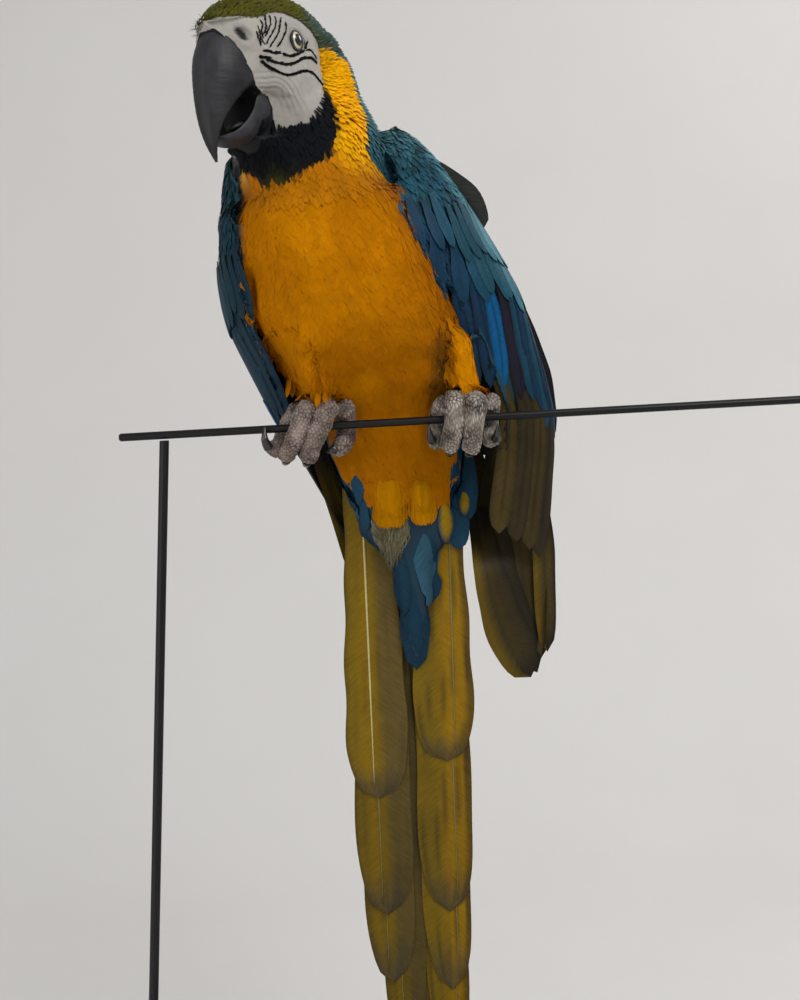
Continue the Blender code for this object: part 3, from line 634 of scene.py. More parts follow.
def sculpt_face(mesh):
    """The head's small forms: the skin's meeting with the bill, sockets, nostrils and the cheek's folds."""
    co = coords(mesh)
    h = head_mm(co)
    chin = np.interp(h[:, 0], *zip(*CHIN))
    under = (h[:, 0] > 6.0) & (h[:, 2] < chin) & (h[:, 2] > -80.0)
    h[:, 2] = np.where(under, chin + 0.25 * (h[:, 2] - chin), h[:, 2])
    slim = ease(h[:, 2], -52.0, -60.0) * ease(h[:, 2], -92.0, -76.0)
    slim = slim * ease(-h[:, 1], -4.0, 16.0) * ease(h[:, 0], -20.0, 4.0)
    h[:, 1] += 5.5 * slim
    h[:, 0] -= 4.5 * slim
    near = (perch_mm(co)[:, 2] > HEAD_FROM) & (h[:, 0] > 0.0) & (h[:, 2] < 9.0) & (h[:, 2] > -54.0)
    edge, half = along(BILL_EDGE, h[:, 2], 1), along(BILL_EDGE, h[:, 2], 2)
    cut = along(HEAD_CUT, h[:, 2], 1)
    reach = np.clip(edge + 1.0 - cut, 0.0, None) * ease(h[:, 0], cut - 14.0, cut - 1.0)
    h[:, 0] += np.where(near, reach, 0.0)
    wide = np.abs(h[:, 1])
    behind = edge - h[:, 0]
    flush = np.minimum(wide, half + 0.3 + np.clip(wide - half - 0.3, 0.0, None) * ease(behind, 0.0, 15.0))
    tucked = np.minimum(wide, half - 1.3)
    meeting = np.sign(h[:, 1]) * mix1(tucked, flush, ease(behind, -0.8, 0.0))
    h[:, 1] = np.where(near, meeting, h[:, 1])
    set_coords(mesh, from_head(h))
    away = normals(mesh) @ AXES.T
    bare = ease(face_depth(h), 0.0, 2.5) * (np.abs(h[:, 1]) > 3.0)
    for sign in SIDES.values():
        on_side = h[:, 1] * sign > 12.0
        r = np.hypot(h[:, 0] - EYE_MOVE[0], h[:, 2] - EYE_MOVE[1])
        t = ease(r, 7.0, 11.5)
        h[:, 1] = np.where(on_side & (r < 11.5), mix1(sign * EYE_SIDE, h[:, 1], t), h[:, 1])
        fold = 0.35 * np.exp(-((r - 7.6) / 0.6) ** 2) + 0.22 * np.exp(-((r - 9.3) / 0.6) ** 2)
        h[:, 1] += np.where(on_side & (r < 13), sign * fold, 0.0)
        h -= away * np.where(on_side, 0.6 * mouth_folds(h), 0.0)[:, None]
    nostril = nostril_at(h)
    swell = 0.5 * np.exp(-((nostril - 1.8) / 0.6) ** 2) - 1.8 * np.exp(-nostril ** 4)
    h += away * (swell + 0.12 * wobble(h, 2.2, 5) * bare)[:, None]
    set_coords(mesh, from_head(h))


def face_colour(h):
    """The bare skin's colour, darker low on the face and pinker by the mouth's corner, with painted shade:
    greyer in its folds, and black in the nostrils and where the skin meets the bill at the mouth.
    """
    tone = 1.0 - 0.10 * ease(wobble(h, 9.0, 7), -0.3, 1.0) - 0.12 * ease(-h[:, 2], 28.0, 44.0)
    shade = FACE * tone[:, None]
    flush = ease(np.hypot(h[:, 0] - 26, h[:, 2] + 30), 9.0, 2.0)
    shade = mix(shade, FACE * (0.80, 0.74, 0.72), 0.4 * flush)
    # painted shade in the cheek's creases
    shade = shade * (1.0 - 0.28 * mouth_folds(h) * (np.abs(h[:, 1]) > 10.0))[:, None]
    # painted shade: black in the nostrils' holes and in the gap under the bill's rear edge
    mouth = ease(h[:, 0] - along(BILL_EDGE, h[:, 2], 1), -0.9, -0.1) * (h[:, 2] < 4.0)
    return mix(mix(shade, BLACK, ease(nostril_at(h), 1.25, 0.85)), BLACK * 0.6, mouth)


def fluffed(h):
    """1 where the feathers stand up: the cheek's yellow ruff and the nape."""
    return ease(-h[:, 0], 12.0, 22.0) * ease(h[:, 2], 14.0, 4.0) * ease(h[:, 2], -66.0, -44.0)


def nape_rise(h):
    """0 to 1 where the crown's and the nape's feathers stand out from the head behind the eyes."""
    bare = ease(face_depth(h), -7.0, -1.0) * ease(np.abs(h[:, 1]), 12.0, 17.0)
    return ease(-h[:, 0], -14.0, 8.0) * ease(h[:, 2], -26.0, -8.0) * (1.0 - bare)


def flank_rise(p):
    """0 to 1 on the body's sides, where its feathers fill the gap to the wings."""
    a, z = azimuth(p), p[:, 2]
    left = ease(a, 30.0, 50.0) * ease(a, 120.0, 100.0) * ease(z, 8.0, 30.0) * ease(z, 150.0, 130.0)
    right = ease(-a, 34.0, 56.0) * ease(-a, 120.0, 100.0) * ease(z, 0.0, 20.0) * ease(z, 90.0, 70.0)
    return left + right


def skin_material():
    """The markings with mottled and finely wrinkled skin, soft under the light."""
    m = Nodes("skin", 0.6, Specular_IOR_Level=0.3, Subsurface_Weight=0.08, Subsurface_Scale=0.004)
    mottle = m.noise(260.0, 6.0, 0.65)
    broad = m.noise(45.0, 3.0)
    tone = m.math("MULTIPLY", m.range(mottle, 0.25, 0.75, 0.86, 1.08), m.range(broad, 0.3, 0.7, 0.9, 1.06))
    m.shaded_paint("Plumage", tone)
    wrinkle = m.cells(900.0, m.stretched((1.0, 1.0, 1.7)))
    grain = m.math("ADD", m.math("MULTIPLY", wrinkle, 0.6), m.math("MULTIPLY", mottle, 0.9))
    m.bump(grain, 0.0005, 0.8)
    return m.mat


def build_skin():
    """The one skin of head, neck, trunk, thighs, wings and undertail."""
    mesh = fused("skin", FLESH, SKIN_VOXEL, 10)
    bm = bmesh.new()
    bm.from_mesh(mesh)
    middles = np.array([f.calc_center_median() for f in bm.faces])
    h = head_mm(middles)
    fine = (face_depth(h) > -1.0) & (perch_mm(middles)[:, 2] > HEAD_FROM) & (h[:, 0] > -20)
    bm.faces.ensure_lookup_table()
    edges = {e for i in np.flatnonzero(fine) for e in bm.faces[i].edges}
    bmesh.ops.subdivide_edges(bm, edges=list(edges), cuts=2, use_grid_fill=True, smooth=0.6)
    bm.to_mesh(mesh)
    bm.free()
    round_shading(mesh)
    mesh.update()
    co = coords(mesh)
    h = head_mm(co)
    p = perch_mm(co)
    bare = ease(face_depth(h), -7.0, 0.0) * (p[:, 2] > HEAD_FROM)
    on_body = ease(p[:, 2], 134.0, 118.0) * ease(p[:, 1], 30.0, 0.0)
    broad, small = wobble(p * (1.0, 1.0, 0.34), 13.0, 14), wobble(p * (1.0, 1.0, 0.3), 6.0, 19)
    soft = on_body * (0.8 - 1.1 * broad - 0.5 * small)
    node = nearest_flesh(co)
    soft -= 4.5 * flank_rise(p) * (node == FLESH.index("trunk")) + 4.5 * nape_rise(h) * (p[:, 2] > HEAD_FROM)
    parting = 1.6 * np.exp(-((p[:, 0] - 4.5 + 0.06 * p[:, 2]) / 2.6) ** 2)
    parting = parting * ease(p[:, 2], 6.0, -14.0) * on_body
    depth = (COAT - 1.8 * fluffed(h)) * (1 - bare) + BARE * bare + soft + parting
    co = co - normals(mesh) * depth[:, None] * MM
    slim = 0.5 * ease(p[:, 2], -66.0, -96.0) * (node == FLESH.index("undertail"))
    co[:, 0] += slim * (from_perch((6.0, 0.0, 0.0))[0] - co[:, 0])
    set_coords(mesh, co)
    sculpt_face(mesh)
    co, facing = coords(mesh), normals(mesh)
    p, h = perch_mm(co), head_mm(co)
    bare = ease(face_depth(h), -0.6, 0.6) * (p[:, 2] > HEAD_FROM)
    shade = body_colour(p)
    shade = mix(shade, THROAT * 0.8, ease(h[:, 2], -44.0, -49.0) * ease(h[:, 0], 2.0, 8.0))
    for side in SIDES:
        on_wing = node == FLESH.index("wing_" + side)
        outer = wing_outer(facing[on_wing], side)
        top = mix(TEAL * 0.8, OLIVE_DARK, ease(p[on_wing, 2], 14.0, 6.0))
        shade[on_wing] = np.where(outer[:, None], top, lining_colour(p[on_wing], side))
    shade[node == FLESH.index("undertail")] = STEEL * 0.75
    tint(mesh, mix(shade * 0.85, face_colour(h), bare))
    skin = new_object("skin", mesh, skin_material())
    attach(skin, "root")
    return skin


# ---------------------------------------------------------------- feathers
class Vanes:
    """Feathers that are grown one by one or by the thousand, then joined as one mesh. Each is a grid of rows
    and columns: base, widest and tip shape its outline, fringe roughens its end, and camber bends it across."""

    def __init__(self, name, rows=4, columns=4, tip=2.0, base=0.45, widest=0.5, fringe=0.0, camber=0.08):
        self.name, self.rows, self.columns = name, rows, columns
        self.t = np.linspace(0, 1, rows + 1)
        self.s = np.linspace(-1, 1, columns + 1)
        rise = base + (1 - base) * ease(self.t, 0.0, widest)
        fall = np.clip(1 - ((self.t - widest) / (1 - widest)).clip(0, 1) ** tip, 0.0, 1.0) ** 0.5
        self.profile = rise * fall
        self.fringe, self.camber = fringe, camber
        self.points, self.colours, self.vane, self.bake = [], [], [], []
        self.count = 0

    def add(self, path, side, up, half_width, colours, bake):
        """path, side, up: (n, rows + 1, 3); half_width: (n,) in metres; bake: (n, rows + 1, columns + 1, 2);
        colours broadcast to (n, rows + 1, columns + 1, 3)."""
        w = half_width[:, None] * self.profile[None]
        s = self.s[None, None, :, None]
        points = path[:, :, None] + side[:, :, None] * (w[:, :, None, None] * s)
        points = points - up[:, :, None] * (self.camber * w[:, :, None, None] * s * s)
        length = np.linalg.norm(path[:, -1] - path[:, 0], axis=1)
        if self.fringe:
            ahead = unit(path[:, -1] - path[:, -2])
            jag = rng.uniform(0.0, 1.0, (len(path), self.columns + 1)) * self.fringe * length[:, None]
            points[:, -1] -= ahead[:, None] * jag[..., None]
            points[:, -2] -= ahead[:, None] * (jag * 0.35)[..., None]
        self.put(points, colours, bake, length / MM, half_width / MM)

    def put(self, points, colours, bake, length, half_width):
        """Finished grids of points, with lengths and half widths in mm for the barbs."""
        n = len(points)
        x = self.s[None, None] * half_width[:, None, None] + 0 * self.t[None, :, None]
        y = self.t[None, :, None] * length[:, None, None] + 0 * self.s[None, None]
        y = y + (np.arange(n)[:, None, None] + self.count) * 37.0
        self.points.append(points)
        self.colours.append(np.broadcast_to(colours, points.shape))
        self.vane.append(np.stack([x, y], -1))
        self.bake.append(bake)
        self.count += n

    def build(self, mat):
        points = np.concatenate(self.points)
        colours, vane, bake = (np.concatenate(x) for x in (self.colours, self.vane, self.bake))
        n, r, c = len(points), self.rows + 1, self.columns + 1
        index = np.arange(n * r * c).reshape(n, r, c)
        quads = np.stack([index[:, :-1, :-1], index[:, :-1, 1:], index[:, 1:, 1:], index[:, 1:, :-1]], -1)
        mesh = grid_mesh(self.name, points.reshape(-1, 3), quads.reshape(-1, 4))
        tint(mesh, np.clip(colours, 0, 1).reshape(-1, 3))
        uv_map(mesh, "OFBake", bake.reshape(-1, 2))
        uv_map(mesh, "Vane", vane.reshape(-1, 2))
        obj = new_object(self.name, mesh, mat)
        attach(obj, "root")
        return obj


def patch_uv(root_uv, rows, columns):
    """A small patch at each root's place on the unwrap."""
    s = np.linspace(-0.5, 0.5, columns + 1)[None, None, :]
    t = np.linspace(-0.5, 0.5, rows + 1)[None, :, None]
    u = root_uv[:, 0, None, None] + PATCH * s + 0 * t
    v = root_uv[:, 1, None, None] + PATCH * t + 0 * s
    return np.clip(np.stack([u, v], -1), 0.0, 1.0)


def walk(tree, roots, facing, flow, length, steps, low, high, turn=0.0, free=9.0):
    """Centrelines that follow a surface from their roots, rising from low to high mm above it, and run
    straight on where it is more than free steps away. turn is how far each wanders from the flow."""
    n = len(roots)
    path, up, ahead = (np.empty((n, steps + 1, 3)) for _ in range(3))
    place, normal = roots.copy(), facing.copy()
    wander = rng.normal(0.0, 1.0, n)[:, None] * turn
    direction = flow(place, normal)
    direction = unit(direction + np.cross(normal, direction) * wander)
    step = (length / steps)[:, None] * MM
    for k in range(steps + 1):
        t = k / steps
        height = low + (high - low) * t ** 1.2
        path[:, k] = place + normal * (height * MM)[:, None]
        up[:, k], ahead[:, k] = normal, direction
        if k < steps:
            on = place + direction * step
            place, found, far = snap(tree, on)
            loose = (far > free * step[:, 0])[:, None]
            place, found = np.where(loose, on, place), np.where(loose, normal, found)
            normal = unit(normal * 0.5 + found * 0.5)
            heading = flow(place, normal)
            heading = unit(heading + np.cross(normal, heading) * wander)
            direction = unit(direction * 0.6 + heading * 0.4)
            direction = unit(direction - normal * dot(direction, normal)[:, None])
    side = unit(np.cross(ahead, up))
    return path, side, up


def tangent(direction, normal):
    return unit(direction - normal * dot(direction, normal)[..., None])


BILL_ROOT = from_head((44.0, 0.0, -12.0))


def body_flow(place, normal):
    """Feathers lie away from the bill on the head, and down and a little outward and back on the body."""
    p = perch_mm(place)
    away = unit(place - BILL_ROOT)
    x = p[:, 0] - np.interp(p[:, 2], SPINE_Z, SPINE_X)
    down = np.stack([0.0032 * x + 0.06 * ease(p[:, 2], 20, 100), np.full(len(x), 0.12), -np.ones(len(x))], 1)
    t = ease(p[:, 2], 160.0, 206.0)
    return tangent(mix(unit(down), away, t), normal)


def feather_colours(base, rows, root=0.62, tip=1.12, spread=0.08):
    """Each feather's own tone, darker at its root and lighter at its tip."""
    n = len(base)
    t = np.linspace(0, 1, rows + 1)[None, :, None]
    tone = root + (tip - root) * t ** 0.8
    own = 1 + spread * rng.normal(size=(n, 1, 1))
    warm = 1 + 0.35 * spread * rng.normal(size=(n, 1, 1, 3))
    return np.clip(base[:, None, None] * (tone * own)[..., None] * warm, 0.0, 1.0)


def around_uv(p, low, high):
    """The body's own unwrap: round its axis and up it."""
    return np.stack([(azimuth(p) / 360.0 + 0.5) * 0.99, (p[:, 2] - low) / (high - low)], 1)


def at_points(value, p):
    """A number, or what a function gives at points."""
    return value(p) if callable(value) else value


def coat(name, node, skin_tree, spacing, length, width, flow, colouring, mat, slot, unwrap,
         keep=None, pick=None, rows=4, columns=2, low=0.2, high=2.7, uneven=0.3, turn=0.12,
         tones=None, free=9.0, reach=3.2, **shape):
    """A region's small feathers, rooted on the skin under one node. keep chooses roots by place, and pick by
    place and the way the skin faces. The skin may lie reach mm deeper than usual, and where that is far it
    may also face another way."""
    points, outward = scatter(NODES[node].data, spacing, keep)
    roots, facing, far = snap(skin_tree, points)
    agree = 0.35 if reach < 4.0 else 0.1
    good = (far < (COAT + reach) * MM) & (dot(facing, outward) > agree)
    if pick is not None:
        good &= pick(roots, facing)
    roots, facing = roots[good], facing[good]
    p = perch_mm(roots)
    n = len(roots)
    size = np.exp(rng.normal(0, 0.10, n))
    span = at_points(length, p) * size
    half = at_points(width, p) * size / 2 * MM
    vanes = Vanes(name, rows, columns, **shape)
    lift = at_points(high, p) + rng.normal(0, uneven, n)
    path, side, up = walk(skin_tree, roots, facing, flow, span, rows, low, lift, turn, at_points(free, p))
    marked = perch_mm(path[:, round(rows * 0.65)])
    colours = feather_colours(colouring(marked), rows, **(tones or {}))
    vanes.add(path, side, up, half, colours, patch_uv(unwrap(p), rows, columns))
    return vanes.build(MATERIALS[mat])


# ---------------------------------------------------------------- head's pieces
EYE_RADIUS, IRIS_RADIUS, PUPIL_RADIUS = 6.6, 5.1, 3.45
CORNEA = 0.035                    # how far the cornea stands out, in the ball's radii


def ball_mesh(name, centre, out, right, top):
    """A ball in rings round the way it looks, with the bulge of the cornea."""
    rings, segments = 40, 48
    points = [centre - out * EYE_RADIUS * MM]
    for j in range(1, rings):
        a = pi * j / rings
        bulge = 1.0 + CORNEA * max(0.0, (a - pi * 0.74) / (pi * 0.26)) ** 1.5
        for k in range(segments):
            b = 2 * pi * k / segments
            ray = out * -cos(a) + (right * cos(b) + top * sin(b)) * sin(a)
            points.append(centre + ray * EYE_RADIUS * bulge * MM)
    points.append(centre + out * EYE_RADIUS * (1.0 + CORNEA) * MM)
    faces = [(0, 1 + (k + 1) % segments, 1 + k) for k in range(segments)]
    for j in range(rings - 2):
        a0, b0 = 1 + j * segments, 1 + (j + 1) * segments
        faces += [(a0 + k, a0 + (k + 1) % segments, b0 + (k + 1) % segments, b0 + k) for k in range(segments)]
    last = 1 + (rings - 2) * segments
    faces += [(last + k, last + (k + 1) % segments, len(points) - 1) for k in range(segments)]
    return face_mesh(name, points, faces)


def lid_mesh(name, centre, out, right, top):
    """The bare lid's rim, a thin tube round the eye's opening."""
    points, faces, around, tube = [], [], 72, 14
    for j in range(around):
        a = 2 * pi * j / around
        ray = right * cos(a) + top * sin(a)
        open_r = EYE_OPENING * (0.95 - 0.05 * cos(2 * a))
        middle = centre + (ray * open_r + out * (np.sqrt(EYE_RADIUS ** 2 - open_r ** 2) + 0.15)) * MM
        thick = (0.78 - 0.10 * sin(a) + 0.04 * sin(24 * a)) * MM
        for k in range(tube):
            b = 2 * pi * k / tube
            points.append(middle + (ray * cos(b) + out * sin(b) * 0.9) * thick)
    for j in range(around):
        for k in range(tube):
            a0, b0 = j * tube, (j + 1) % around * tube
            faces.append((a0 + k, b0 + k, b0 + (k + 1) % tube, a0 + (k + 1) % tube))
    return face_mesh(name, points, faces)


def build_eyes():
    """Glossy balls with a black pupil, a cream iris and a dark rim of bare lid."""
    iris = Nodes("iris", 0.18, Coat_Weight=1.0, Coat_Roughness=0.02)
    rays = iris.range(iris.noise(900.0, 3.0), 0.35, 0.7, 0.0, 0.6)
    iris.paint(iris.blend("MIX", rays, colour(216, 210, 178), colour(172, 162, 118)))
    pupil = Nodes("pupil", 0.08, Coat_Weight=1.0, Coat_Roughness=0.02)
    pupil.paint(pupil.blend("MIX", pupil.noise(300.0), colour(6, 6, 8), colour(12, 11, 12)))
    lid = Nodes("lid", 0.42)
    lid.paint(lid.blend("MIX", lid.noise(500.0), colour(24, 22, 22), colour(52, 48, 46)))
    lid.bump(lid.cells(1400.0), 0.0004)
    for side, sign in SIDES.items():
        centre = EYES[side] + (FWD * EYE_MOVE[0] + UP * EYE_MOVE[1]) * MM
        out = unit(LEFT * sign - FWD * 0.03)
        right = unit(np.cross(out, UP))
        top = np.cross(right, out)
        mesh = ball_mesh("eyeball_" + side, centre, out, right, top)
        ball = new_object("eyeball_" + side, mesh, lid.mat)
        mesh.materials.append(iris.mat)
        mesh.materials.append(pupil.mat)
        for poly in mesh.polygons:
            q = np.array(poly.center) - centre
            r = np.linalg.norm(q - out * dot(q, out)) / MM
            if dot(q, out) > 0:
                poly.material_index = 2 if r < PUPIL_RADIUS else 1 if r < IRIS_RADIUS else 0
        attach(ball, "root")
        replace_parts(ball, "eye_" + side)
        ring = new_object("lid_" + side, lid_mesh("lid_" + side, centre, out, right, top), lid.mat)
        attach(ring, "root")


def horn_material():
    m = Nodes("bill_horn", 0.46, Specular_IOR_Level=0.35)
    streaks = m.noise(1.0, 5.0, 0.6, m.stretched((160.0, 160.0, 26.0)))
    cloud = m.noise(55.0, 4.0, 0.6)
    base = m.blend("MIX", m.range(streaks, 0.3, 0.75, 0.0, 1.0), colour(22, 22, 24), colour(39, 38, 41))
    base = m.blend("MIX", m.range(cloud, 0.45, 0.75, 0.0, 0.5), base, colour(58, 56, 58))
    # the stored tones carry wear and a painted highlight on the bill's front
    base = m.blend("MULTIPLY", 1.0, base, m.attribute("wear_and_highlight"))
    m.paint(base)
    m.rough(m.range(cloud, 0.3, 0.7, 0.40, 0.62))
    layers = m.noise(1.0, 3.0, 0.5, m.stretched((60.0, 60.0, 500.0)))
    m.bump(m.math("ADD", m.math("MULTIPLY", layers, 0.5), m.math("MULTIPLY", streaks, 0.5)), 0.0004)
    return m.mat


# stations from the head to the tip: ridge (f, u), cutting edge (f, u) and half width
UPPER_BILL = (((34.0, 7.0), (20.0, -20.0), 16.0), ((43.5, 5.8), (28.5, -25.0), 17.4),
              ((49.6, 1.0), (33.6, -27.0), 17.0), ((55.0, -9.5), (38.6, -31.5), 15.2),
              ((57.6, -23.0), (44.6, -39.0), 11.9), ((58.6, -36.0), (48.6, -46.0), 9.0),
              ((57.6, -47.0), (51.2, -53.0), 6.6), ((55.2, -57.5), (51.6, -60.8), 3.9),
              ((50.3, -68.6), (49.5, -69.2), 0.8))
# the same, with its underside first and its upper rim second
LOWER_BILL = (((14.0, -47.5), (17.0, -34.5), 16.6), ((16.5, -51.0), (23.5, -31.8), 17.2),
              ((23.0, -55.2), (29.6, -32.6), 17.3), ((31.0, -58.4), (32.4, -40.0), 16.0),
              ((38.0, -59.2), (36.8, -47.0), 13.4), ((44.0, -58.4), (42.6, -52.6), 9.8),
              ((48.4, -56.8), (47.4, -54.6), 6.0), ((51.0, -55.6), (50.6, -55.2), 0.8))
LOFT = 9                          # rings from one station to the next
LOWER_BILL_TONE, INNER_BILL_TONE = 2.1, 0.16      # how light they are beside the upper bill's outside


def smooth_rows(rows, steps):
    """Rows of numbers with steps more between each two, on a smooth curve through them all."""
    rows = np.asarray(rows, float)
    ends = np.vstack([2 * rows[0] - rows[1], rows, 2 * rows[-1] - rows[-2]])
    out = []
    for i in range(len(rows) - 1):
        a, b, c, d = ends[i:i + 4]
        for t in np.linspace(0, 1, steps, endpoint=False):
            out.append(0.5 * (2 * b + (c - a) * t + (2 * a - 5 * b + 4 * c - d) * t * t
                              + (3 * b - a - 3 * c + d) * t ** 3))
    return np.array(out + [rows[-1]])


def edge_gap(h):
    """How far points of the bill are in front of its rear edge."""
    return h[:, 0] - along(BILL_EDGE, h[:, 2], 1)


def build_bill_half(name, stations, hollow, horn):
    """Half of the bill, lofted as hollow horn with growth lines and worn edges, and tones of wear with a
    painted highlight.
    """
    lower = name == "bill_lower"
    rows = smooth_rows([(*a, *b, w) for a, b, w in stations], LOFT)
    turn = np.radians(np.linspace(-96, 96, 41))
    outer_l = np.sign(turn) * np.abs(np.sin(turn)) ** 0.88
    outer_d = (1 - np.cos(turn)) / (1 - np.cos(turn[0]))
    inner_l = np.linspace(0.9, -0.9, 23)
    inner_d = 1.0 - hollow * (1 - (inner_l / 0.93) ** 2) ** 0.7
    across, deep = np.concatenate([outer_l, inner_l]), np.concatenate([outer_d, inner_d])
    ridge, rim, half = rows[:, 0:2], rows[:, 2:4], rows[:, 4]
    fu = ridge[:, None] + (rim - ridge)[:, None] * deep[None, :, None]
    h = np.stack([fu[..., 0], half[:, None] * across[None], fu[..., 1]], -1)
    n, m = h.shape[:2]
    flat = h.reshape(-1, 3)
    outer = np.tile(np.arange(m) < len(outer_l), n)
    grow = 0.06 * np.sin(flat[:, 2] * 1.7 + 0.5 * flat[:, 0] + 1.6 * wobble(flat, 14.0, 8))
    worn = np.exp(-((flat[:, 2] + 24.0 + 0.12 * flat[:, 0] + 0.6 * wobble(flat, 8.0, 4)) / 0.45) ** 2)
    push = np.where(outer, grow + 0.08 * wobble(flat, 4.0, 9) - 0.14 * worn, 0.0)
    middle = ((ridge + rim) / 2)[:, None]
    away = unit(np.stack([fu[..., 0] - middle[..., 0], h[..., 1], fu[..., 1] - middle[..., 1]], -1))
    points = from_head(flat + away.reshape(-1, 3) * push[:, None])
    index = np.arange(n * m).reshape(n, m)
    around = np.roll(index, -1, axis=1)
    quads = np.stack([index[:-1], around[:-1], around[1:], index[1:]], -1).reshape(-1, 4)
    if lower:
        quads = quads[:, ::-1]
    mesh = grid_mesh(name + "_horn", points, quads)
    tone = 1.0 - 0.22 * ease(-flat[:, 2], 42.0, 66.0) - 0.18 * worn
    # painted highlight: lighter on the front of the upper part of the bill
    tone = tone + 0.30 * ease(flat[:, 0], 40.0, 54.0) * ease(-flat[:, 2], 34.0, 8.0)
    if not lower:
        tone = tone + 0.9 * ease(edge_gap(flat), 1.3, 0.2) * ease(wobble(flat, 1.6, 11), 0.1, 0.7)
    tone = np.where(outer, tone * (LOWER_BILL_TONE if lower else 1.0), INNER_BILL_TONE)
    tint(mesh, np.repeat(tone[:, None], 3, 1), "wear_and_highlight")
    obj = new_object(name + "_horn", mesh, horn)
    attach(obj, "root")
    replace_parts(obj, name)


def build_tongue():
    """A bent ball of dark flesh in the lower half of the bill."""
    flesh = Nodes("tongue", 0.45)
    flesh.paint(flesh.blend("MIX", flesh.noise(300.0), colour(16, 14, 17), colour(34, 28, 33)))
    flesh.bump(flesh.noise(900.0), 0.0004)
    bm = bmesh.new()
    bmesh.ops.create_uvsphere(bm, u_segments=24, v_segments=16, radius=1.0)
    mesh = bpy.data.meshes.new("tongue")
    bm.to_mesh(mesh)
    bm.free()
    size, at = np.array([9.0, 5.0, 3.0]), np.array([28.0, 0.0, -46.0])
    ball = coords(mesh)
    droop = np.stack([0 * ball[:, 0], 0 * ball[:, 0], -3.0 * ball[:, 0] ** 2], 1)
    set_coords(mesh, from_head(ball * size + at + droop))
    round_shading(mesh)
    tongue = new_object("tongue", mesh, flesh.mat)
    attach(tongue, "root")


def build_bill():
    """Both halves of the bill, and the tongue."""
    horn = horn_material()
    build_bill_half("bill_upper", UPPER_BILL, 0.42, horn)
    build_bill_half("bill_lower", LOWER_BILL, 0.85, horn)
    build_tongue()


# ---------------------------------------------------------------- feet
def foot_material(name, pale, dark):
    m = Nodes(name, 0.6, Specular_IOR_Level=0.35)
    cloud = m.noise(110.0, 4.0)
    base = m.blend("MIX", m.attribute("Groove", "Fac"), pale, dark)
    m.paint(m.blend("MULTIPLY", m.range(cloud, 0.35, 0.62, 0.0, 0.85), base, colour(150, 136, 128)))
    m.bump(m.noise(900.0, 4.0), 0.0004, 0.7)
    return m.mat


# each foot's scales: how much shorter they are along the leg, spacing, and colours
SCALES = {"left": (0.22, 1.6, colour(186, 176, 163), colour(44, 38, 34)),
          "right": (0.8, 1.6, colour(158, 142, 132), colour(38, 33, 30))}


def build_feet():
    """Each foot with its toes in one scaly skin, and its four claws."""
    claw = Nodes("claw_horn", 0.3, Coat_Weight=0.3)
    claw.paint(claw.blend("MIX", claw.noise(1.0, 4.0, 0.6, claw.stretched((500.0, 500.0, 90.0))),
                          colour(12, 12, 12), colour(44, 40, 37)))
    for side in SIDES:
        squash, spacing, pale, dark = SCALES[side]
        stretch = np.array([1.0, 1.0, squash])
        toes = [n for n in NODES if n.startswith("toe_" + side)]
        mesh = fused("foot_skin_" + side, ["foot_" + side, *toes], FOOT_VOXEL, 8)
        seeds, _ = scatter(mesh, spacing)
        tree = KDTree(len(seeds))
        for i, q in enumerate(seeds):
            tree.insert(Vector(q * stretch), i)
        tree.balance()
        co = coords(mesh)
        gap = np.empty(len(co))
        for i, q in enumerate(co):
            first, second = tree.find_n(Vector(q * stretch), 2)
            gap[i] = (second[2] - first[2]) / MM
        groove = 1.0 - ease(gap, 0.05, 0.75)
        dome = 0.50 * ease(gap, 0.0, 0.9) + 0.7 * wobble(co / MM * stretch, 4.0, 16)
        set_coords(mesh, co + normals(mesh) * (dome + 0.75)[:, None] * MM)
        number(mesh, groove * (0.75 + 0.25 * wobble(co / MM, 5.0, 17)), "Groove")
        obj = new_object("foot_skin_" + side, mesh, foot_material("foot_skin_" + side, pale, dark))
        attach(obj, "root")
        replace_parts(obj, "foot_" + side, *toes)
        for node in [n for n in NODES if n.startswith("claw_" + side)]:
            mesh = fused(node + "_horn", (node,), CLAW_VOXEL, 4)
            set_coords(mesh, coords(mesh) + normals(mesh) * 0.3 * MM)
            horn = new_object(node + "_horn", mesh, claw.mat)
            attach(horn, "root")
            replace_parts(horn, node)


# ---------------------------------------------------------------- stand
def build_stand():
    """The perch's rod, its posts and its base keep their solids, with paint and softened edges."""
    rod = Nodes("rod_paint", 0.42, Coat_Weight=0.04, Specular_IOR_Level=0.3)
    cloud = rod.range(rod.noise(60.0, 5.0), 0.4, 0.75, 0.0, 0.5)
    rod.paint(rod.blend("MIX", cloud, colour(8, 7, 8), colour(24, 20, 20)))
    rod.bump(rod.noise(1400.0, 3.0), 0.0001)
    board = Nodes("board_paint", 0.4, Coat_Weight=0.1)
    grain = board.noise(1.0, 5.0, 0.6, board.stretched((6.0, 120.0, 60.0)))
    board.paint(board.blend("MIX", grain, colour(26, 25, 25), colour(46, 43, 42)))
    board.bump(grain, 0.0003)
    for name, m in (("perch", rod), ("stand_rod_left", rod), ("stand_rod_right", rod), ("stand_base", board)):
        obj = NODES[name]
        obj.data.materials.clear()
        obj.data.materials.append(m.mat)
        bevel = obj.modifiers.new("soft_edges", "BEVEL")
        bevel.width, bevel.segments = 0.8 * MM, 2
        bevel.limit_method, bevel.angle_limit = "ANGLE", radians(40)


# ---------------------------------------------------------------- studio
# the camera's distance in front of the perch and below it in metres, its roll in degrees and its lens in mm
CAMERA_BACK, CAMERA_DOWN, CAMERA_ROLL, CAMERA_LENS = 0.80, 0.0487, 3.2, 46.08
# name, place, aim, size and power
LAMPS = (("key", (0.9, -1.3, 1.9), (0.0, 0.0, 0.6), 1.1, 24.0),
         ("fill", (-1.5, -1.4, 0.7), (0.0, 0.0, 0.5), 1.6, 14.0),
         ("rim", (1.7, 0.9, 1.9), (0.0, 0.0, 0.6), 1.0, 12.0))


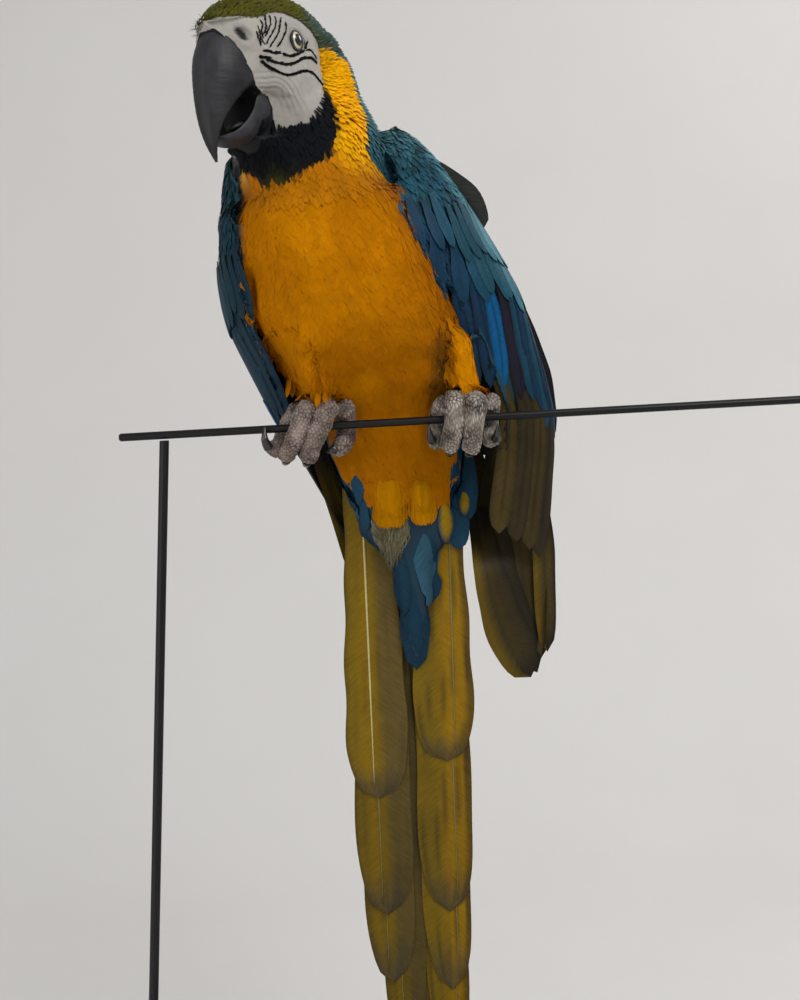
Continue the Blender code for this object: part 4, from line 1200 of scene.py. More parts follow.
def build_backdrop():
    """A floor that bends up into a wall."""
    wall = Nodes("backdrop", 0.95)
    wall.paint(wall.blend("MIX", wall.noise(3.0), colour(236, 233, 229), colour(228, 225, 220)))
    width, near, far, height, bend = 6.0, -7.0, 1.6, 3.4, 0.8
    outline = [(near, 0.0), (far - bend, 0.0)]
    outline += [(far - bend + bend * sin(radians(a)), bend - bend * cos(radians(a))) for a in range(6, 90, 6)]
    outline += [(far, bend), (far, height)]
    points = [(x, y, z) for y, z in outline for x in (-width, width)]
    faces = [(2 * i, 2 * i + 1, 2 * i + 3, 2 * i + 2) for i in range(len(outline) - 1)]
    floor = new_object("backdrop", face_mesh("backdrop", points, faces), wall.mat)
    floor.location.z = -0.0005


def build_lights():
    """Three soft lamps and a pale sky."""
    for name, at, aim, size, power in LAMPS:
        lamp = bpy.data.lights.new(name, "AREA")
        lamp.size, lamp.energy = size, power
        obj = bpy.data.objects.new(name, lamp)
        bpy.context.scene.collection.objects.link(obj)
        obj.location = at
        obj.rotation_euler = (Vector(aim) - Vector(at)).to_track_quat("-Z", "Y").to_euler()
    world = bpy.data.worlds.new("studio")
    world.use_nodes = True
    sky = world.node_tree.nodes["Background"]
    sky.inputs["Color"].default_value = (0.93, 0.95, 1.0, 1.0)
    sky.inputs["Strength"].default_value = 0.38
    bpy.context.scene.world = world
    bpy.context.scene.view_settings.view_transform = "Standard"


def build_camera():
    """A camera that looks level, a little from below the perch and rolled as in a hand."""
    data = bpy.data.cameras.new("camera")
    data.lens, data.sensor_width, data.clip_start = CAMERA_LENS, 36.0, 0.02
    camera = bpy.data.objects.new("camera", data)
    bpy.context.scene.collection.objects.link(camera)
    place = Vector(PERCH) + Vector((0.0, -CAMERA_BACK, -CAMERA_DOWN))
    camera.matrix_world = (Matrix.Translation(place) @ Matrix.Rotation(radians(90), 4, "X")
                           @ Matrix.Rotation(radians(-CAMERA_ROLL), 4, "Z"))
    bpy.context.scene.camera = camera


# ---------------------------------------------------------------- sheets that large feathers lie on
# the fewest points in a whole ring
WING_RING, TAIL_RING = 13, 12


def rings_of(nodes, least):
    """The level rings of points of lofted solids, as {height: points}, in the perch's frame."""
    found = {}
    for node in nodes:
        p = perch_mm(coords(NODES[node].data))
        for z in np.unique(np.round(p[:, 2])):
            ring = p[np.abs(p[:, 2] - z) < 0.6]
            if len(ring) >= least:
                found[z] = ring
    return found


class Sheet:
    """A smooth sheet through rows of numbers at rising heights. A feather is placed by (s, z) on it, and step
    is a small distance in s."""

    def __init__(self, rows, blur, margin=12.0):
        heights = np.array(sorted(rows))
        table = np.array([rows[z] for z in heights])
        self.z = np.arange(heights[0] - margin, heights[-1] + margin, 1.0)
        fine = np.stack([np.interp(self.z, heights, column) for column in table.T], 1)
        kernel = np.hanning(2 * blur + 3)[1:-1]
        kernel /= kernel.sum()
        padded = np.pad(fine, ((blur, blur), (0, 0)), mode="edge")
        self.rows = np.stack([np.convolve(padded[:, k], kernel, "valid") for k in range(fine.shape[1])], 1)

    def row(self, z):
        return np.stack([np.interp(z, self.z, self.rows[:, k]) for k in range(self.rows.shape[1])], -1)


class WingSheet(Sheet):
    """A wing's outer face: s runs from its front edge at 0 to its rear edge at 1."""

    step = 0.01

    def __init__(self, side):
        self.sign = SIDES[side]
        rows = {}
        for z, ring in rings_of(("wing_" + side, "primaries_" + side), WING_RING).items():
            front, rear = ring[ring[:, 1].argmin(), :2], ring[ring[:, 1].argmax(), :2]
            chord = rear - front
            outward = np.array([chord[1], -chord[0]]) * self.sign
            outer = ring[((ring[:, :2] - front) @ outward).argmax(), :2]
            rows[z] = np.concatenate([front, outer, rear])
        super().__init__(rows, 12)

    def point(self, s, z):
        row = self.row(z)
        q = np.stack([(1 - s) * (1 - 2 * s), 4 * s * (1 - s), s * (2 * s - 1)], -1)
        x, y = (row[..., 0::2] * q).sum(-1), (row[..., 1::2] * q).sum(-1)
        return from_perch(np.stack([x, y, z + 0 * s], -1))


class FlatSheet(Sheet):
    """The front (sign 1) or rear (sign -1) face of the tail: s is x in mm."""

    step = 0.5

    def __init__(self, sign):
        self.sign = sign
        face = np.min if sign > 0 else np.max
        rows = {z: [face(ring[:, 1])] for z, ring in rings_of(("tail",), TAIL_RING).items()}
        super().__init__(rows, 10, 30.0)

    def point(self, s, z):
        return from_perch(np.stack([s + 0 * z, self.row(z)[..., 0] + 0 * s, z + 0 * s], -1))


class BodySheet:
    """The skin from the front (sign 1) or from behind (sign -1), and the tail below it: s is x in mm."""

    step = 1.0

    def __init__(self, tree, sign):
        self.tree, self.sign, self.below = tree, sign, FlatSheet(sign)

    def point(self, s, z):
        s, z = np.broadcast_arrays(np.asarray(s, float), np.asarray(z, float))
        out = self.below.point(s, z)
        flat, xs, zs = out.reshape(-1, 3), s.ravel(), z.ravel()
        ahead = Vector((0.0, float(self.sign), 0.0))
        for i in range(len(flat)):
            start = from_perch((xs[i], -300.0 * self.sign, zs[i]))
            hit = self.tree.ray_cast(Vector(start), ahead)[0]
            if hit is not None and (hit.y < flat[i, 1] if self.sign > 0 else hit.y > flat[i, 1]):
                flat[i] = hit
        return flat.reshape(out.shape)


THICK = 0.35                      # between a large feather's two faces


def lay(vanes, sheet, root, tip, half_width, lift, colours, cell, tilt=0.0, bend=0.0, under=None):
    """One large feather on a sheet, from root (s, z) to tip (s, z). lift is its height in mm at both ends,
    and under the colours of its other face."""
    t, x = vanes.t, vanes.s
    s_mid = root[0] + (tip[0] - root[0]) * t + bend * 4 * t * (1 - t)
    z_mid = root[1] + (tip[1] - root[1]) * t
    d = sheet.step
    middle = sheet.point(s_mid, z_mid)
    ps = (sheet.point(s_mid + d, z_mid) - sheet.point(s_mid - d, z_mid)) / (2 * d)
    pz = (sheet.point(s_mid, z_mid + 2.0) - sheet.point(s_mid, z_mid - 2.0)) / 4.0
    normal = unit(np.cross(ps, pz)) * sheet.sign
    ahead = unit(np.gradient(middle, axis=0))
    side = unit(np.cross(ahead, normal))
    a, b, c = dot(ps, ps), dot(ps, pz), dot(pz, pz)
    e, f = dot(ps, side), dot(pz, side)
    ds, dz = (e * c - f * b) / (a * c - b * b), (f * a - e * b) / (a * c - b * b)
    waves = np.outer(t * rng.uniform(14, 26), np.ones(len(x))) + rng.uniform(0, 6, len(x))
    ragged = 1 + 0.035 * np.sin(waves)
    w = half_width * MM * vanes.profile[:, None] * ragged * x
    points = sheet.point(s_mid[:, None] + ds[:, None] * w, z_mid[:, None] + dz[:, None] * w)
    height = (lift[0] + (lift[1] - lift[0]) * t)[:, None] + (tilt * x - vanes.camber * x * x) * half_width
    length = np.linalg.norm(middle[-1] - middle[0]) / MM
    for k, shade in enumerate((colours, under)):
        if shade is None:
            continue
        grid = points + normal[:, None] * ((height - k * THICK) * MM)[..., None]
        if k:
            grid = grid[:, ::-1]
            shade = shade[:, ::-1]
        cu, cv, size_u, size_v = cell[k]
        # a feather fills most of its cell
        bake_u, bake_v = cu + size_u * (0.5 + 0.46 * x[None]), cv + size_v * (0.03 + 0.94 * t[:, None])
        bake = np.stack(np.broadcast_arrays(bake_u, bake_v), -1)
        vanes.put(grid[None], shade[None], bake[None], np.array([length]), np.array([half_width]))


def cells(count, columns, both=True):
    """The baking map's cells, one or two for each feather, as (u, v, width, height)."""
    total = count * (2 if both else 1)
    rows = -(-total // columns)
    box = [((i % columns) / columns, (i // columns) / rows, 1 / columns, 1 / rows) for i in range(total)]
    return [(box[2 * i], box[2 * i + 1]) for i in range(count)] if both else [(c,) for c in box]


def shaded(vanes, middle, edge, tip, root=None, shaft=None, tip_from=0.75, edge_from=0.35):
    """A large feather's colours from its shaft to its edges and tip."""
    t, x = vanes.t[:, None], vanes.s[None]
    across = ease(np.abs(x), edge_from, 1.0)
    out = mix(mix(middle, edge, across), tip, ease(t, tip_from, 1.0) * np.ones_like(across))
    if root is not None:
        out = mix(out, root, ease(t, 0.3, 0.0) * np.ones_like(across))
    if shaft is not None:
        out = mix(out, shaft, ease(np.abs(x), 0.16, 0.04) * ease(t, 0.98, 0.8))
    return out * (1 + 0.05 * rng.normal())


# ---------------------------------------------------------------- wings
# rows of large feathers: name, count, first and last s, height of roots and tips, half width, lift, and how
# far the tip is from the root in s
WING_ROWS = {
    "left": (("secondaries", 18, 0.06, 1.03, 90.0, 13.0, 6.6, -1.6, -0.13),
             ("greater", 18, 0.05, 0.98, 112.0, 72.0, 5.2, -1.3, -0.07),
             ("median", 20, 0.03, 0.98, 134.0, 98.0, 4.6, -0.9, -0.05)),
    "right": (("secondaries", 14, 0.08, 1.00, 80.0, 6.0, 6.6, -1.6, -0.06),
              ("greater", 16, 0.05, 0.97, 104.0, 64.0, 5.2, -1.2, -0.04)),
}
COAT_FROM = {"left": 96.0, "right": 70.0}     # the height above which a wing has only small feathers
BRIGHT = {2: (BLUE * 0.85, BLUE_DEEP), 3: (PURPLE, PURPLE * 0.7)}     # two left secondaries: middle and edge
# dark feathers that stand out from behind the left wing: x and z at the root and at the tip, half width,
# bend, y at the root, lean backwards, colour
STANDING = ((24.0, 166.0, 63.0, 121.0, 9.5, 5.5, 7.0, 0.17, colour(50, 54, 49)),
            (82.0, 74.0, 101.0, -16.0, 7.0, 3.0, 18.0, 0.20, colour(24, 27, 30)))


class Board:
    """A flat sheet that faces the front, at y at its top and leaning back below it: s is x in mm."""

    step, sign = 1.0, 1.0

    def __init__(self, y, top, lean):
        self.y, self.top, self.lean = y, top, lean

    def point(self, s, z):
        return from_perch(np.stack(np.broadcast_arrays(s, self.y + self.lean * (self.top - z), z), -1))


def wing_feather_colours(vanes, row, k, s, z, side):
    """The colours of feather k of a row, whose middle is at (s, z) on its wing's sheet."""
    tone = 1 + 0.09 * rng.normal()
    middle = wing_shade(s, z, side) * tone
    if row == "secondaries":
        if side == "left" and k in BRIGHT:
            middle, edge = BRIGHT[k]
        else:
            middle = mix(middle, BLUE_DEEP, float(np.clip(0.35 + 0.3 * rng.normal(), 0, 1)))
            edge = mix(BLACK, middle, 0.25)
        return shaded(vanes, middle, edge, middle * 0.9, middle * 0.7, middle * 0.5, 0.7, 0.62)
    middle = mix(middle, BLUE_DEEP, float(np.clip(0.3 * rng.normal(), 0, 0.6)))
    # painted highlight: each covert's edges are lighter than its middle
    out = shaded(vanes, middle, middle * 1.12, middle * 0.95, middle * 0.8, middle * 0.75, 0.8, 0.6)
    x = vanes.s[None] + 0 * vanes.t[:, None]
    dark = ease(np.sin(9.0 * x + rng.uniform(0, 6)) + np.sin(17.0 * x + rng.uniform(0, 6)), 0.4, 1.6)
    return mix(out, middle * 0.55, 0.5 * dark)


def build_wing(side, tree):
    """A wing: small coverts grown from the skin, then rows of coverts, secondaries and primaries."""
    sheet = WingSheet(side)
    grid = np.meshgrid(np.linspace(0, 1, 41), np.arange(-30.0, 186.0, 3.0))
    samples_s, samples_z = (x.ravel() for x in grid)
    places = sheet.point(samples_s, samples_z)
    lines = unit(sheet.point(samples_s - 0.02, samples_z - 12.0) - places)
    near = KDTree(len(places))
    for i, place in enumerate(places):
        near.insert(Vector(place), i)
    near.balance()

    def nearest(points):
        return np.array([near.find(Vector(q))[1] for q in points], int)

    def flow(place, normal):
        return tangent(lines[nearest(place)], normal)

    def colouring(p):
        i = nearest(from_perch(p))
        shade = wing_shade(samples_s[i], p[:, 2], side)
        return mix(shade, TEAL_DARK, 0.6 * ease(wobble(p * (1.0, 1.0, 0.3), 4.0, 18), 0.2, 1.0))

    def lining(p):
        return lining_colour(p, side)

    def unwrap(p):
        i = nearest(from_perch(p))
        return np.stack([samples_s[i] * 0.98, (samples_z[i] + 30.0) / 220.0], 1)

    def outside(roots, facing):
        s, z = samples_s[nearest(roots)], perch_mm(roots)[:, 2]
        return wing_outer(facing, side) & (z > COAT_FROM[side] * (0.6 + 0.4 * ease(s, 0.05, 0.3)))

    def underside(roots, facing):
        return ~wing_outer(facing, side)

    def length(p):
        return 7.0 + 11.0 * ease(p[:, 2], 185.0, 120.0)

    def width(p):
        return 2.4 + 1.8 * ease(p[:, 2], 185.0, 130.0)

    coat("wing_coat_" + side, "wing_" + side, tree, 2.0, length, width, flow, colouring, "vane",
         "feathers_teal", unwrap, pick=outside, fringe=0.2, high=1.6, tip=1.4,
         tones={"spread": 0.16, "root": 0.6, "tip": 1.15})
    coat("wing_lining_" + side, "wing_" + side, tree, 4.0, 13.0, 6.0, flow, lining, "vane",
         "feathers_olive", unwrap, pick=underside, fringe=0.12, high=0.9,
         tones={"spread": 0.1, "root": 0.8, "tip": 1.1})
    vanes = Vanes("wing_feathers_" + side, 14, 8, tip=1.9, base=0.5, widest=0.55, camber=0.05)
    rows = WING_ROWS[side]
    standing = STANDING if side == "left" else ()
    place = iter(cells(sum(row[1] for row in rows) + len(standing), 10))
    for name, count, s0, s1, z_root, z_tip, half, height, lean in rows:
        for k in range(count):
            s = s0 + (s1 - s0) * k / (count - 1)
            drop = rng.normal(0, 2.6) + (26.0 * ease(s, 0.17, 0.5) if name == "secondaries" else 5.0 * s)
            shades = wing_feather_colours(vanes, name, k, s + lean / 2, (z_root + z_tip) / 2, side)
            root = (s, z_root + rng.normal(0, 2.0))
            end = (s + lean + rng.normal(0, 0.012), z_tip - drop)
            lay(vanes, sheet, root, end, half * rng.uniform(0.88, 1.12), (height - 0.4, height + 0.4), shades,
                next(place), tilt=0.06 * sheet.sign, under=shades * 0 + OLIVE_GREY * 0.6)
    for x0, z0, x1, z1, half, bend, y, lean, tone in standing:
        shades = shaded(vanes, tone, tone * 0.8, tone * 0.9, tone, tone * 0.7)
        lay(vanes, Board(y, z0, lean), (x0, z0), (x1, z1), half, (0.0, 0.0), shades, next(place), bend=bend,
            under=shades * 0.9)
    vanes.build(MATERIALS["quill"])
    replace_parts(build_primaries(side, sheet), "primaries_" + side)


# primaries: s and z at the root, s and z at the tip, half width, lift
PRIMARIES = {
    "left": ((0.92, 30.0, 0.98, -84.0, 10.0, -0.6), (0.84, 30.0, 0.88, -104.0, 10.0, -1.0),
             (0.77, 28.0, 0.81, -124.0, 10.0, -1.4), (0.71, 26.0, 0.75, -144.0, 9.5, -1.8),
             (0.66, 24.0, 0.69, -160.0, 8.5, -2.2)),
    "right": ((0.34, 20.0, 0.38, -118.0, 10.0, -0.8), (0.52, 22.0, 0.52, -140.0, 10.0, -1.2),
              (0.74, 24.0, 0.72, -164.0, 10.0, -1.6), (0.92, 24.0, 0.90, -186.0, 9.0, -2.0)),
}
# the olive feathers over the left wing's lower end: s, and how light they are
TIP_COVERTS = ((0.03, 0.9), (0.11, 0.3), (0.19, 0.6), (0.27, 0.1))
# the primaries' undersides, that the front shows: x and z at the root and at the tip, half width, depth, bend
UNDERSIDES = {
    "left": ((93.0, 12.0, 95.0, -158.0, 8.0, 1.0, 0.0), (54.0, -58.0, 83.0, -175.0, 15.0, 1.8, -8.0),
             (73.0, 4.0, 88.0, -172.0, 13.0, 2.6, -18.0), (80.0, 6.0, 90.0, -165.0, 12.0, 4.0, -4.0)),
    "right": ((-60.0, 0.0, -12.0, -150.0, 9.0, 1.0, 0.0), (-52.0, 0.0, 0.0, -168.0, 9.0, 2.0, 0.0),
              (-44.0, 0.0, 12.0, -184.0, 8.0, 3.0, 0.0)),
}
UNDERSIDE_TONES = (0.8, 0.25, 0.1, 0.2)       # how light each of them is


class FrontSheet(Sheet):
    """The face of a wing's tip that is towards the front: s is x in mm."""

    step, sign = 1.0, 1.0

    def __init__(self, side):
        rows = {}
        for z, ring in rings_of(("wing_" + side, "primaries_" + side), WING_RING).items():
            if z < 20.0:
                order = np.argsort(ring[:, 0])
                left, right = ring[order[0]], ring[order[-1]]
                rows[z] = [left[0], left[1], right[0], right[1]]
        super().__init__(rows, 12)

    def point(self, s, z):
        row = self.row(z)
        t = (s - row[..., 0]) / np.maximum(row[..., 2] - row[..., 0], 5.0)
        y = row[..., 1] + (row[..., 3] - row[..., 1]) * t
        return from_perch(np.stack([s + 0 * z, y, z + 0 * s], -1))


def build_primaries(side, sheet):
    """The wing's long feathers, blue and black behind and olive where their undersides show."""
    back, under = PRIMARIES[side], UNDERSIDES[side]
    vanes = Vanes("primaries_feathers_" + side, 22, 8, tip=2.6, base=0.5, widest=0.76, camber=0.03)
    place = iter(cells(len(back) + len(under) + len(TIP_COVERTS), 8))
    for k, (s0, light) in enumerate(TIP_COVERTS if side == "left" else ()):
        middle = mix(OLIVE_DARK, OLIVE, light)
        shade = shaded(vanes, middle, middle * 0.55, middle, middle * 0.8, middle * 0.6, 0.9, 0.5)
        lay(vanes, sheet, (s0, 36.0), (s0 + 0.02, -74.0 - 6.0 * k), 8.0, (-2.4, 1.4), shade, next(place),
            under=shade * 0.8)
    for s0, z0, s1, z1, half, height in back:
        top = shaded(vanes, BLUE_DEEP * rng.uniform(0.9, 1.15), BLACK, BLACK, BLUE, BLACK, 0.75, 0.25)
        lay(vanes, sheet, (s0, z0), (s1, z1), half, (height, height), top, next(place), 0.04 * sheet.sign,
            under=top * 0 + OLIVE * 0.7)
    front = FrontSheet(side)
    for k, (x0, z0, x1, z1, half, depth, bend) in enumerate(under):
        middle = mix(OLIVE_DARK, OLIVE, UNDERSIDE_TONES[k])
        shade = shaded(vanes, middle, OLIVE_DARK * 0.7, OLIVE_DARK * 0.6, OLIVE_DARK, OLIVE * 0.6, 0.85, 0.55)
        rim = ease(vanes.s[None], 0.3, 0.7) * ease(vanes.t[:, None], 0.1, 0.3)
        shade = mix(shade, OLIVE_YELLOW * 0.8, rim * (0.75 if k < 2 else 0.2))
        lay(vanes, front, (x0, z0), (x1, z1), half, (2.2 - 0.3 * k, -depth), shade, next(place), 0.03,
            bend=bend, under=shade * 0 + BLUE_DEEP * 0.8)
    return vanes.build(MATERIALS["quill"])


# ---------------------------------------------------------------- tail
# from the outermost pair inwards: side, x at the root and at the tip, z of the tip, half width
TAIL_FEATHERS = (("left", -22.0, -25.0, -250.0, 20.5), ("right", 25.0, 21.0, -227.0, 20.0),
                 ("left", -20.0, -24.0, -332.0, 19.0), ("right", 22.0, 18.0, -332.0, 18.5),
                 ("left", -16.0, -23.0, -381.0, 17.0), ("right", 18.0, 17.0, -388.0, 16.5),
                 ("left", -11.0, -15.0, -430.0, 15.0), ("right", 14.0, 15.0, -437.0, 14.5),
                 ("left", -7.0, -8.0, -480.0, 13.0), ("right", 10.0, 11.0, -484.0, 12.5),
                 ("left", -2.0, 1.0, -521.0, 12.0), ("right", 4.0, 5.0, -525.0, 12.0))


TIP_DEPTH = 0.62                  # how deep a tip lies, as a part of its root's depth


def tail_colours(vanes, side, layer):
    """The underside of a tail feather: yellow-olive about the shaft, greyer on one vane, with a dusky tip."""
    t, x = vanes.t[:, None], vanes.s[None]
    inner = -x if side == "left" else x
    if side == "left":
        out = mix(OLIVE_YELLOW, OLIVE_GREY, ease(inner, -0.05, 0.4) + 0 * t)
        out = mix(out, OLIVE_GOLD * 0.9, 0.6 * np.exp(-((inner + 0.32) / 0.22) ** 2) + 0 * t)
        out = mix(out, OLIVE_DARK, 0.5 * ease(-inner, 0.78, 1.0) + 0 * t)
    else:
        out = mix(OLIVE_GOLD, OLIVE_YELLOW, ease(inner, -0.3, 0.5) + 0 * t)
        out = mix(out, OLIVE_DARK, 0.7 * ease(-inner, 0.66, 0.9) + 0 * t)
    lean = 9.0 if side == "left" else 16.0
    waves = np.sin(13 * x + lean * t + rng.uniform(0, 6)) + np.sin(22 * x + 5 * t + rng.uniform(0, 6))
    out = mix(out, OLIVE_DARK, (0.25 if side == "left" else 0.5) * ease(waves, 0.5, 1.8))
    out = out * (0.98 if layer == 0 else 0.84)
    out = mix(out, colour(64, 58, 42), ease(t + 0.012 * np.sin(9 * x), 0.88, 0.985) * 0.75)
    return out * (1 + 0.06 * rng.normal())


def build_tail():
    """Twelve feathers, the outer and shorter ones in front, blue on their upper side, with pale shafts."""
    front = FlatSheet(1.0)
    vanes = Vanes("tail_feathers", 40, 12, tip=2.6, base=0.75, widest=0.8, camber=0.03)
    place = iter(cells(len(TAIL_FEATHERS), 24))
    depths = [0.8 + 1.05 * i for i in range(len(TAIL_FEATHERS))]
    for i, (side, x0, x1, z1, half) in enumerate(TAIL_FEATHERS):
        upper = shaded(vanes, BLUE * 0.8, BLUE_DEEP, BLUE_DEEP * 0.7, BLUE_DEEP, BLACK)
        lift = (-depths[i], -depths[i] * TIP_DEPTH)
        lay(vanes, front, (x0, -34.0), (x1, z1), half, lift, tail_colours(vanes, side, i // 2), next(place),
            0.03 * SIDES[side], under=upper)
    tail = vanes.build(MATERIALS["quill"])
    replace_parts(tail, "tail")
    shafts = Vanes("tail_shafts", 30, 4, tip=3.0, base=1.0, widest=0.2, camber=1.2)
    place = iter(cells(len(TAIL_FEATHERS), 12, both=False))
    for deep, (side, x0, x1, z1, half) in zip(depths, TAIL_FEATHERS):
        shift = -0.15 * half if side == "left" else 0.35 * half
        tone = mix(colour(206, 196, 138), OLIVE_GREY, 0.1 if side == "left" and z1 > -260 else 0.8)
        lay(shafts, front, (x0 + shift, -36.0), (x1 + shift, z1 + 8.0), 0.75,
            (-deep + 1.0, -deep * TIP_DEPTH + 0.7), np.broadcast_to(tone, (31, 5, 3)), next(place))
    shafts.build(MATERIALS["quill"])


# feathers under the tail: x and z at the root, x and z at the tip, half width, lift, colour
VENT_FEATHERS = (
    (6.0, -84.0, 5.0, -163.0, 10.0, 0.6, "deep"), (15.5, -62.0, 15.5, -121.0, 11.0, 1.7, "pale"),
    (-3.0, -72.0, -1.0, -126.0, 7.0, 0.9, "deep"), (20.0, -60.0, 18.0, -118.0, 7.0, 0.7, "deep"),
    (-37.0, -14.0, -31.0, -52.0, 5.0, 0.8, "blue"), (-32.0, -20.0, -27.0, -60.0, 5.0, 1.2, "pale"),
    (-27.0, -28.0, -22.0, -67.0, 5.0, 1.6, "blue"), (-28.0, -22.0, -25.0, -50.0, 5.0, 2.0, "blue"),
    (37.0, -4.0, 36.0, -57.0, 14.0, 1.6, "blue"), (47.0, -8.0, 46.0, -64.0, 5.5, 0.8, "blue"),
    (39.0, -42.0, 37.0, -84.0, 7.5, 1.0, "blue"), (29.0, -42.0, 29.0, -79.0, 6.5, 1.3, "gold"),
    (43.5, -36.0, 42.0, -62.0, 4.0, 1.9, "gold"),
)
# left, right, top and bottom of the yellow pads
PADS = ((-18.0, 4.4, -36.0, -66.0), (5.6, 23.0, -38.0, -65.0))
PAD_ROWS, PAD_ACROSS = 7, 11
DOWN_HAIRS = 420
RUMP_ROWS, RUMP_ACROSS = 4, 5


def build_vent(tree):
    """Feathers under the tail: two yellow pads, blue coverts and a little grey down between them."""
    sheet = BodySheet(tree, 1.0)
    vanes = Vanes("vent_feathers", 12, 8, tip=2.2, base=0.45, widest=0.6, camber=0.10)
    tones = {"deep": (STEEL * 0.75, STEEL * 0.6), "pale": (STEEL_PALE, STEEL_PALE * 1.1),
             "blue": (STEEL, STEEL * 0.9), "gold": (colour(150, 118, 0), STEEL * 0.8)}
    place = iter(cells(len(VENT_FEATHERS), 6, both=False))
    for x0, z0, x1, z1, half, height, tone in VENT_FEATHERS:
        middle, edge = tones[tone]
        lay(vanes, sheet, (x0, z0), (x1, z1), half, (-0.5, height + 0.8),
            shaded(vanes, middle, edge, edge, middle * 0.9), next(place), tilt=rng.normal(0, 0.03))
    vent = vanes.build(MATERIALS["vane"])
    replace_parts(vent, "undertail")
    soft = Vanes("vent_pads", 5, 2, tip=1.6, base=0.6, widest=0.5, fringe=0.14, camber=0.05)
    for left, right, top, bottom in PADS:
        for row in range(PAD_ROWS):
            for across in np.linspace(-1, 1, PAD_ACROSS):
                x = (left + right) / 2 + (right - left) / 2 * 0.8 * across + rng.normal(0, 0.3)
                z0 = bottom + 10.0 + (top - bottom) / 9.0 * row + rng.normal(0, 0.8)
                z1 = max(z0 - 14.0, bottom + 4.5 * abs(across) ** 5 + abs(rng.normal(0, 0.7)))
                rise = 4.2 - 2.4 * abs(across) ** 3 - 0.25 * row
                shade = mix(YELLOW, GOLD, 0.6 + 0.3 * across ** 2) * (0.62 + 0.04 * rng.normal())
                cell = ((0.5 + x / 60.0, 1.0 + z0 / 90.0, PATCH, PATCH),)
                lay(soft, sheet, (x, z0), (x + 0.6 * across, z1), 2.0, (rise - 1.4, rise),
                    np.broadcast_to(shade, (6, 3, 3)), cell)
    soft.build(MATERIALS["silk"])
    down = Vanes("vent_down", 5, 2, tip=1.2, base=0.8, widest=0.3)
    for _ in range(DOWN_HAIRS):
        x0, z0 = rng.uniform(-19, 5), rng.uniform(-72, -60)
        fall = 8.0 + 20.0 * np.exp(-((x0 + 7.0) / 6.0) ** 2) * rng.uniform(0.5, 1.0)
        base = mix(FLUFF * 1.1, OLIVE_GREY * 0.8, rng.uniform(0, 0.9))
        cell = (((x0 + 20) / 24 * 0.9, (z0 + 72) / 15 * 0.9, PATCH, PATCH),)
        end = (x0 * 0.5 - 3.5 + rng.normal(0, 1.6), z0 - fall)
        lay(down, sheet, (x0, z0), end, 0.45, (0.4, 1.2 + rng.uniform(0, 1.0)),
            np.broadcast_to(base, (6, 3, 3)), cell, bend=rng.normal(0, 1.4))
    down.build(MATERIALS["down"])


def build_rump(tree):
    """The long coverts over the tail's root, seen from behind."""
    sheet = BodySheet(tree, -1.0)
    vanes = Vanes("rump_feathers", 10, 6, tip=2.0, base=0.5, widest=0.55, camber=0.08)
    place = iter(cells(RUMP_ROWS * RUMP_ACROSS, 5, both=False))
    for row in range(RUMP_ROWS):
        for k in range(RUMP_ACROSS):
            x = 2.0 + 10.0 * (k - 2 + 0.5 * (row % 2 - 0.5)) + rng.normal(0, 0.8)
            z0 = -52.0 + 17.0 * row + rng.normal(0, 2.0)
            shade = mix(BLUE * 0.7, TEAL * 0.9, 0.25 + 0.2 * row) * (1 + 0.08 * rng.normal())
            lay(vanes, sheet, (x, z0), (x, z0 - 44.0 + rng.normal(0, 2.5)), 8.0, (-1.6, 1.8 + 0.6 * row),
                shaded(vanes, shade, shade * 0.8, shade * 0.85, mix(BLUE_DEEP, TEAL, 0.5) * 0.8), next(place))
    vanes.build(MATERIALS["vane"])


# ---------------------------------------------------------------- the bare face's feather lines
# each line's points (f, u) on the left of the face, in the head's frame
LORE_LINES = (((8.1, 11.1), (9.9, 6.1), (13.7, 0.2), (18.2, -4.9)),
              ((10.4, 13.5), (14.0, 7.3), (16.7, 2.3), (21.2, -2.8), (24.0, -5.9)),
              ((15.1, 13.1), (16.2, 8.7), (19.6, 3.6), (24.3, -1.6), (26.1, -3.8)),
              ((19.2, 13.2), (20.3, 8.0), (23.0, 3.9), (26.2, -0.2)),
              ((22.8, 12.7), (24.0, 7.3), (25.1, 3.6), (27.6, 0.5)),
              ((27.6, 9.0), (26.9, 5.9), (28.6, 2.1), (28.5, -1.4)),
              ((30.0, 5.1), (30.1, 1.0), (30.1, -2.5), (28.6, -4.8)),
              ((32.0, 1.6), (31.9, -1.8), (30.7, -5.0)),
              ((-4.4, -3.7), (-7.5, -3.3), (-10.0, -4.6), (-11.5, -6.6)),
              ((-5.2, -2.6), (-6.1, -0.6), (-6.8, 0.8)))
CHEEK_LINES = (((29.4, -9.2), (26.6, -9.0), (24.0, -9.4)), ((22.6, -9.6), (20.6, -9.2), (18.0, -8.8)),
               ((30.4, -11.4), (28.0, -12.4), (26.0, -12.6)),
               ((16.0, -9.0), (12.2, -9.4), (8.1, -8.8), (2.8, -6.9), (-2.4, -4.4)),
               ((27.9, -11.9), (25.2, -13.9), (19.8, -14.7), (13.0, -14.5), (6.8, -12.7), (0.3, -9.5),
                (-5.1, -8.0), (-8.5, -8.0), (-11.1, -9.3)),
               ((29.2, -13.8), (25.9, -16.5), (21.5, -18.9), (15.8, -20.5), (8.8, -19.5), (2.6, -17.1),
                (-3.4, -15.9), (-7.9, -16.5), (-10.8, -19.4), (-13.2, -23.0), (-14.0, -28.0)))
# each kind of line, with its rows' shifts to one side and its feathers' half width
LINE_KINDS = ((LORE_LINES, (-0.15, 0.15), 0.26), (CHEEK_LINES, (-0.4, 0.0, 0.4), 0.32))
LINE_STEP = 0.62                  # from one feather of a row to the next
BRISTLES = 54


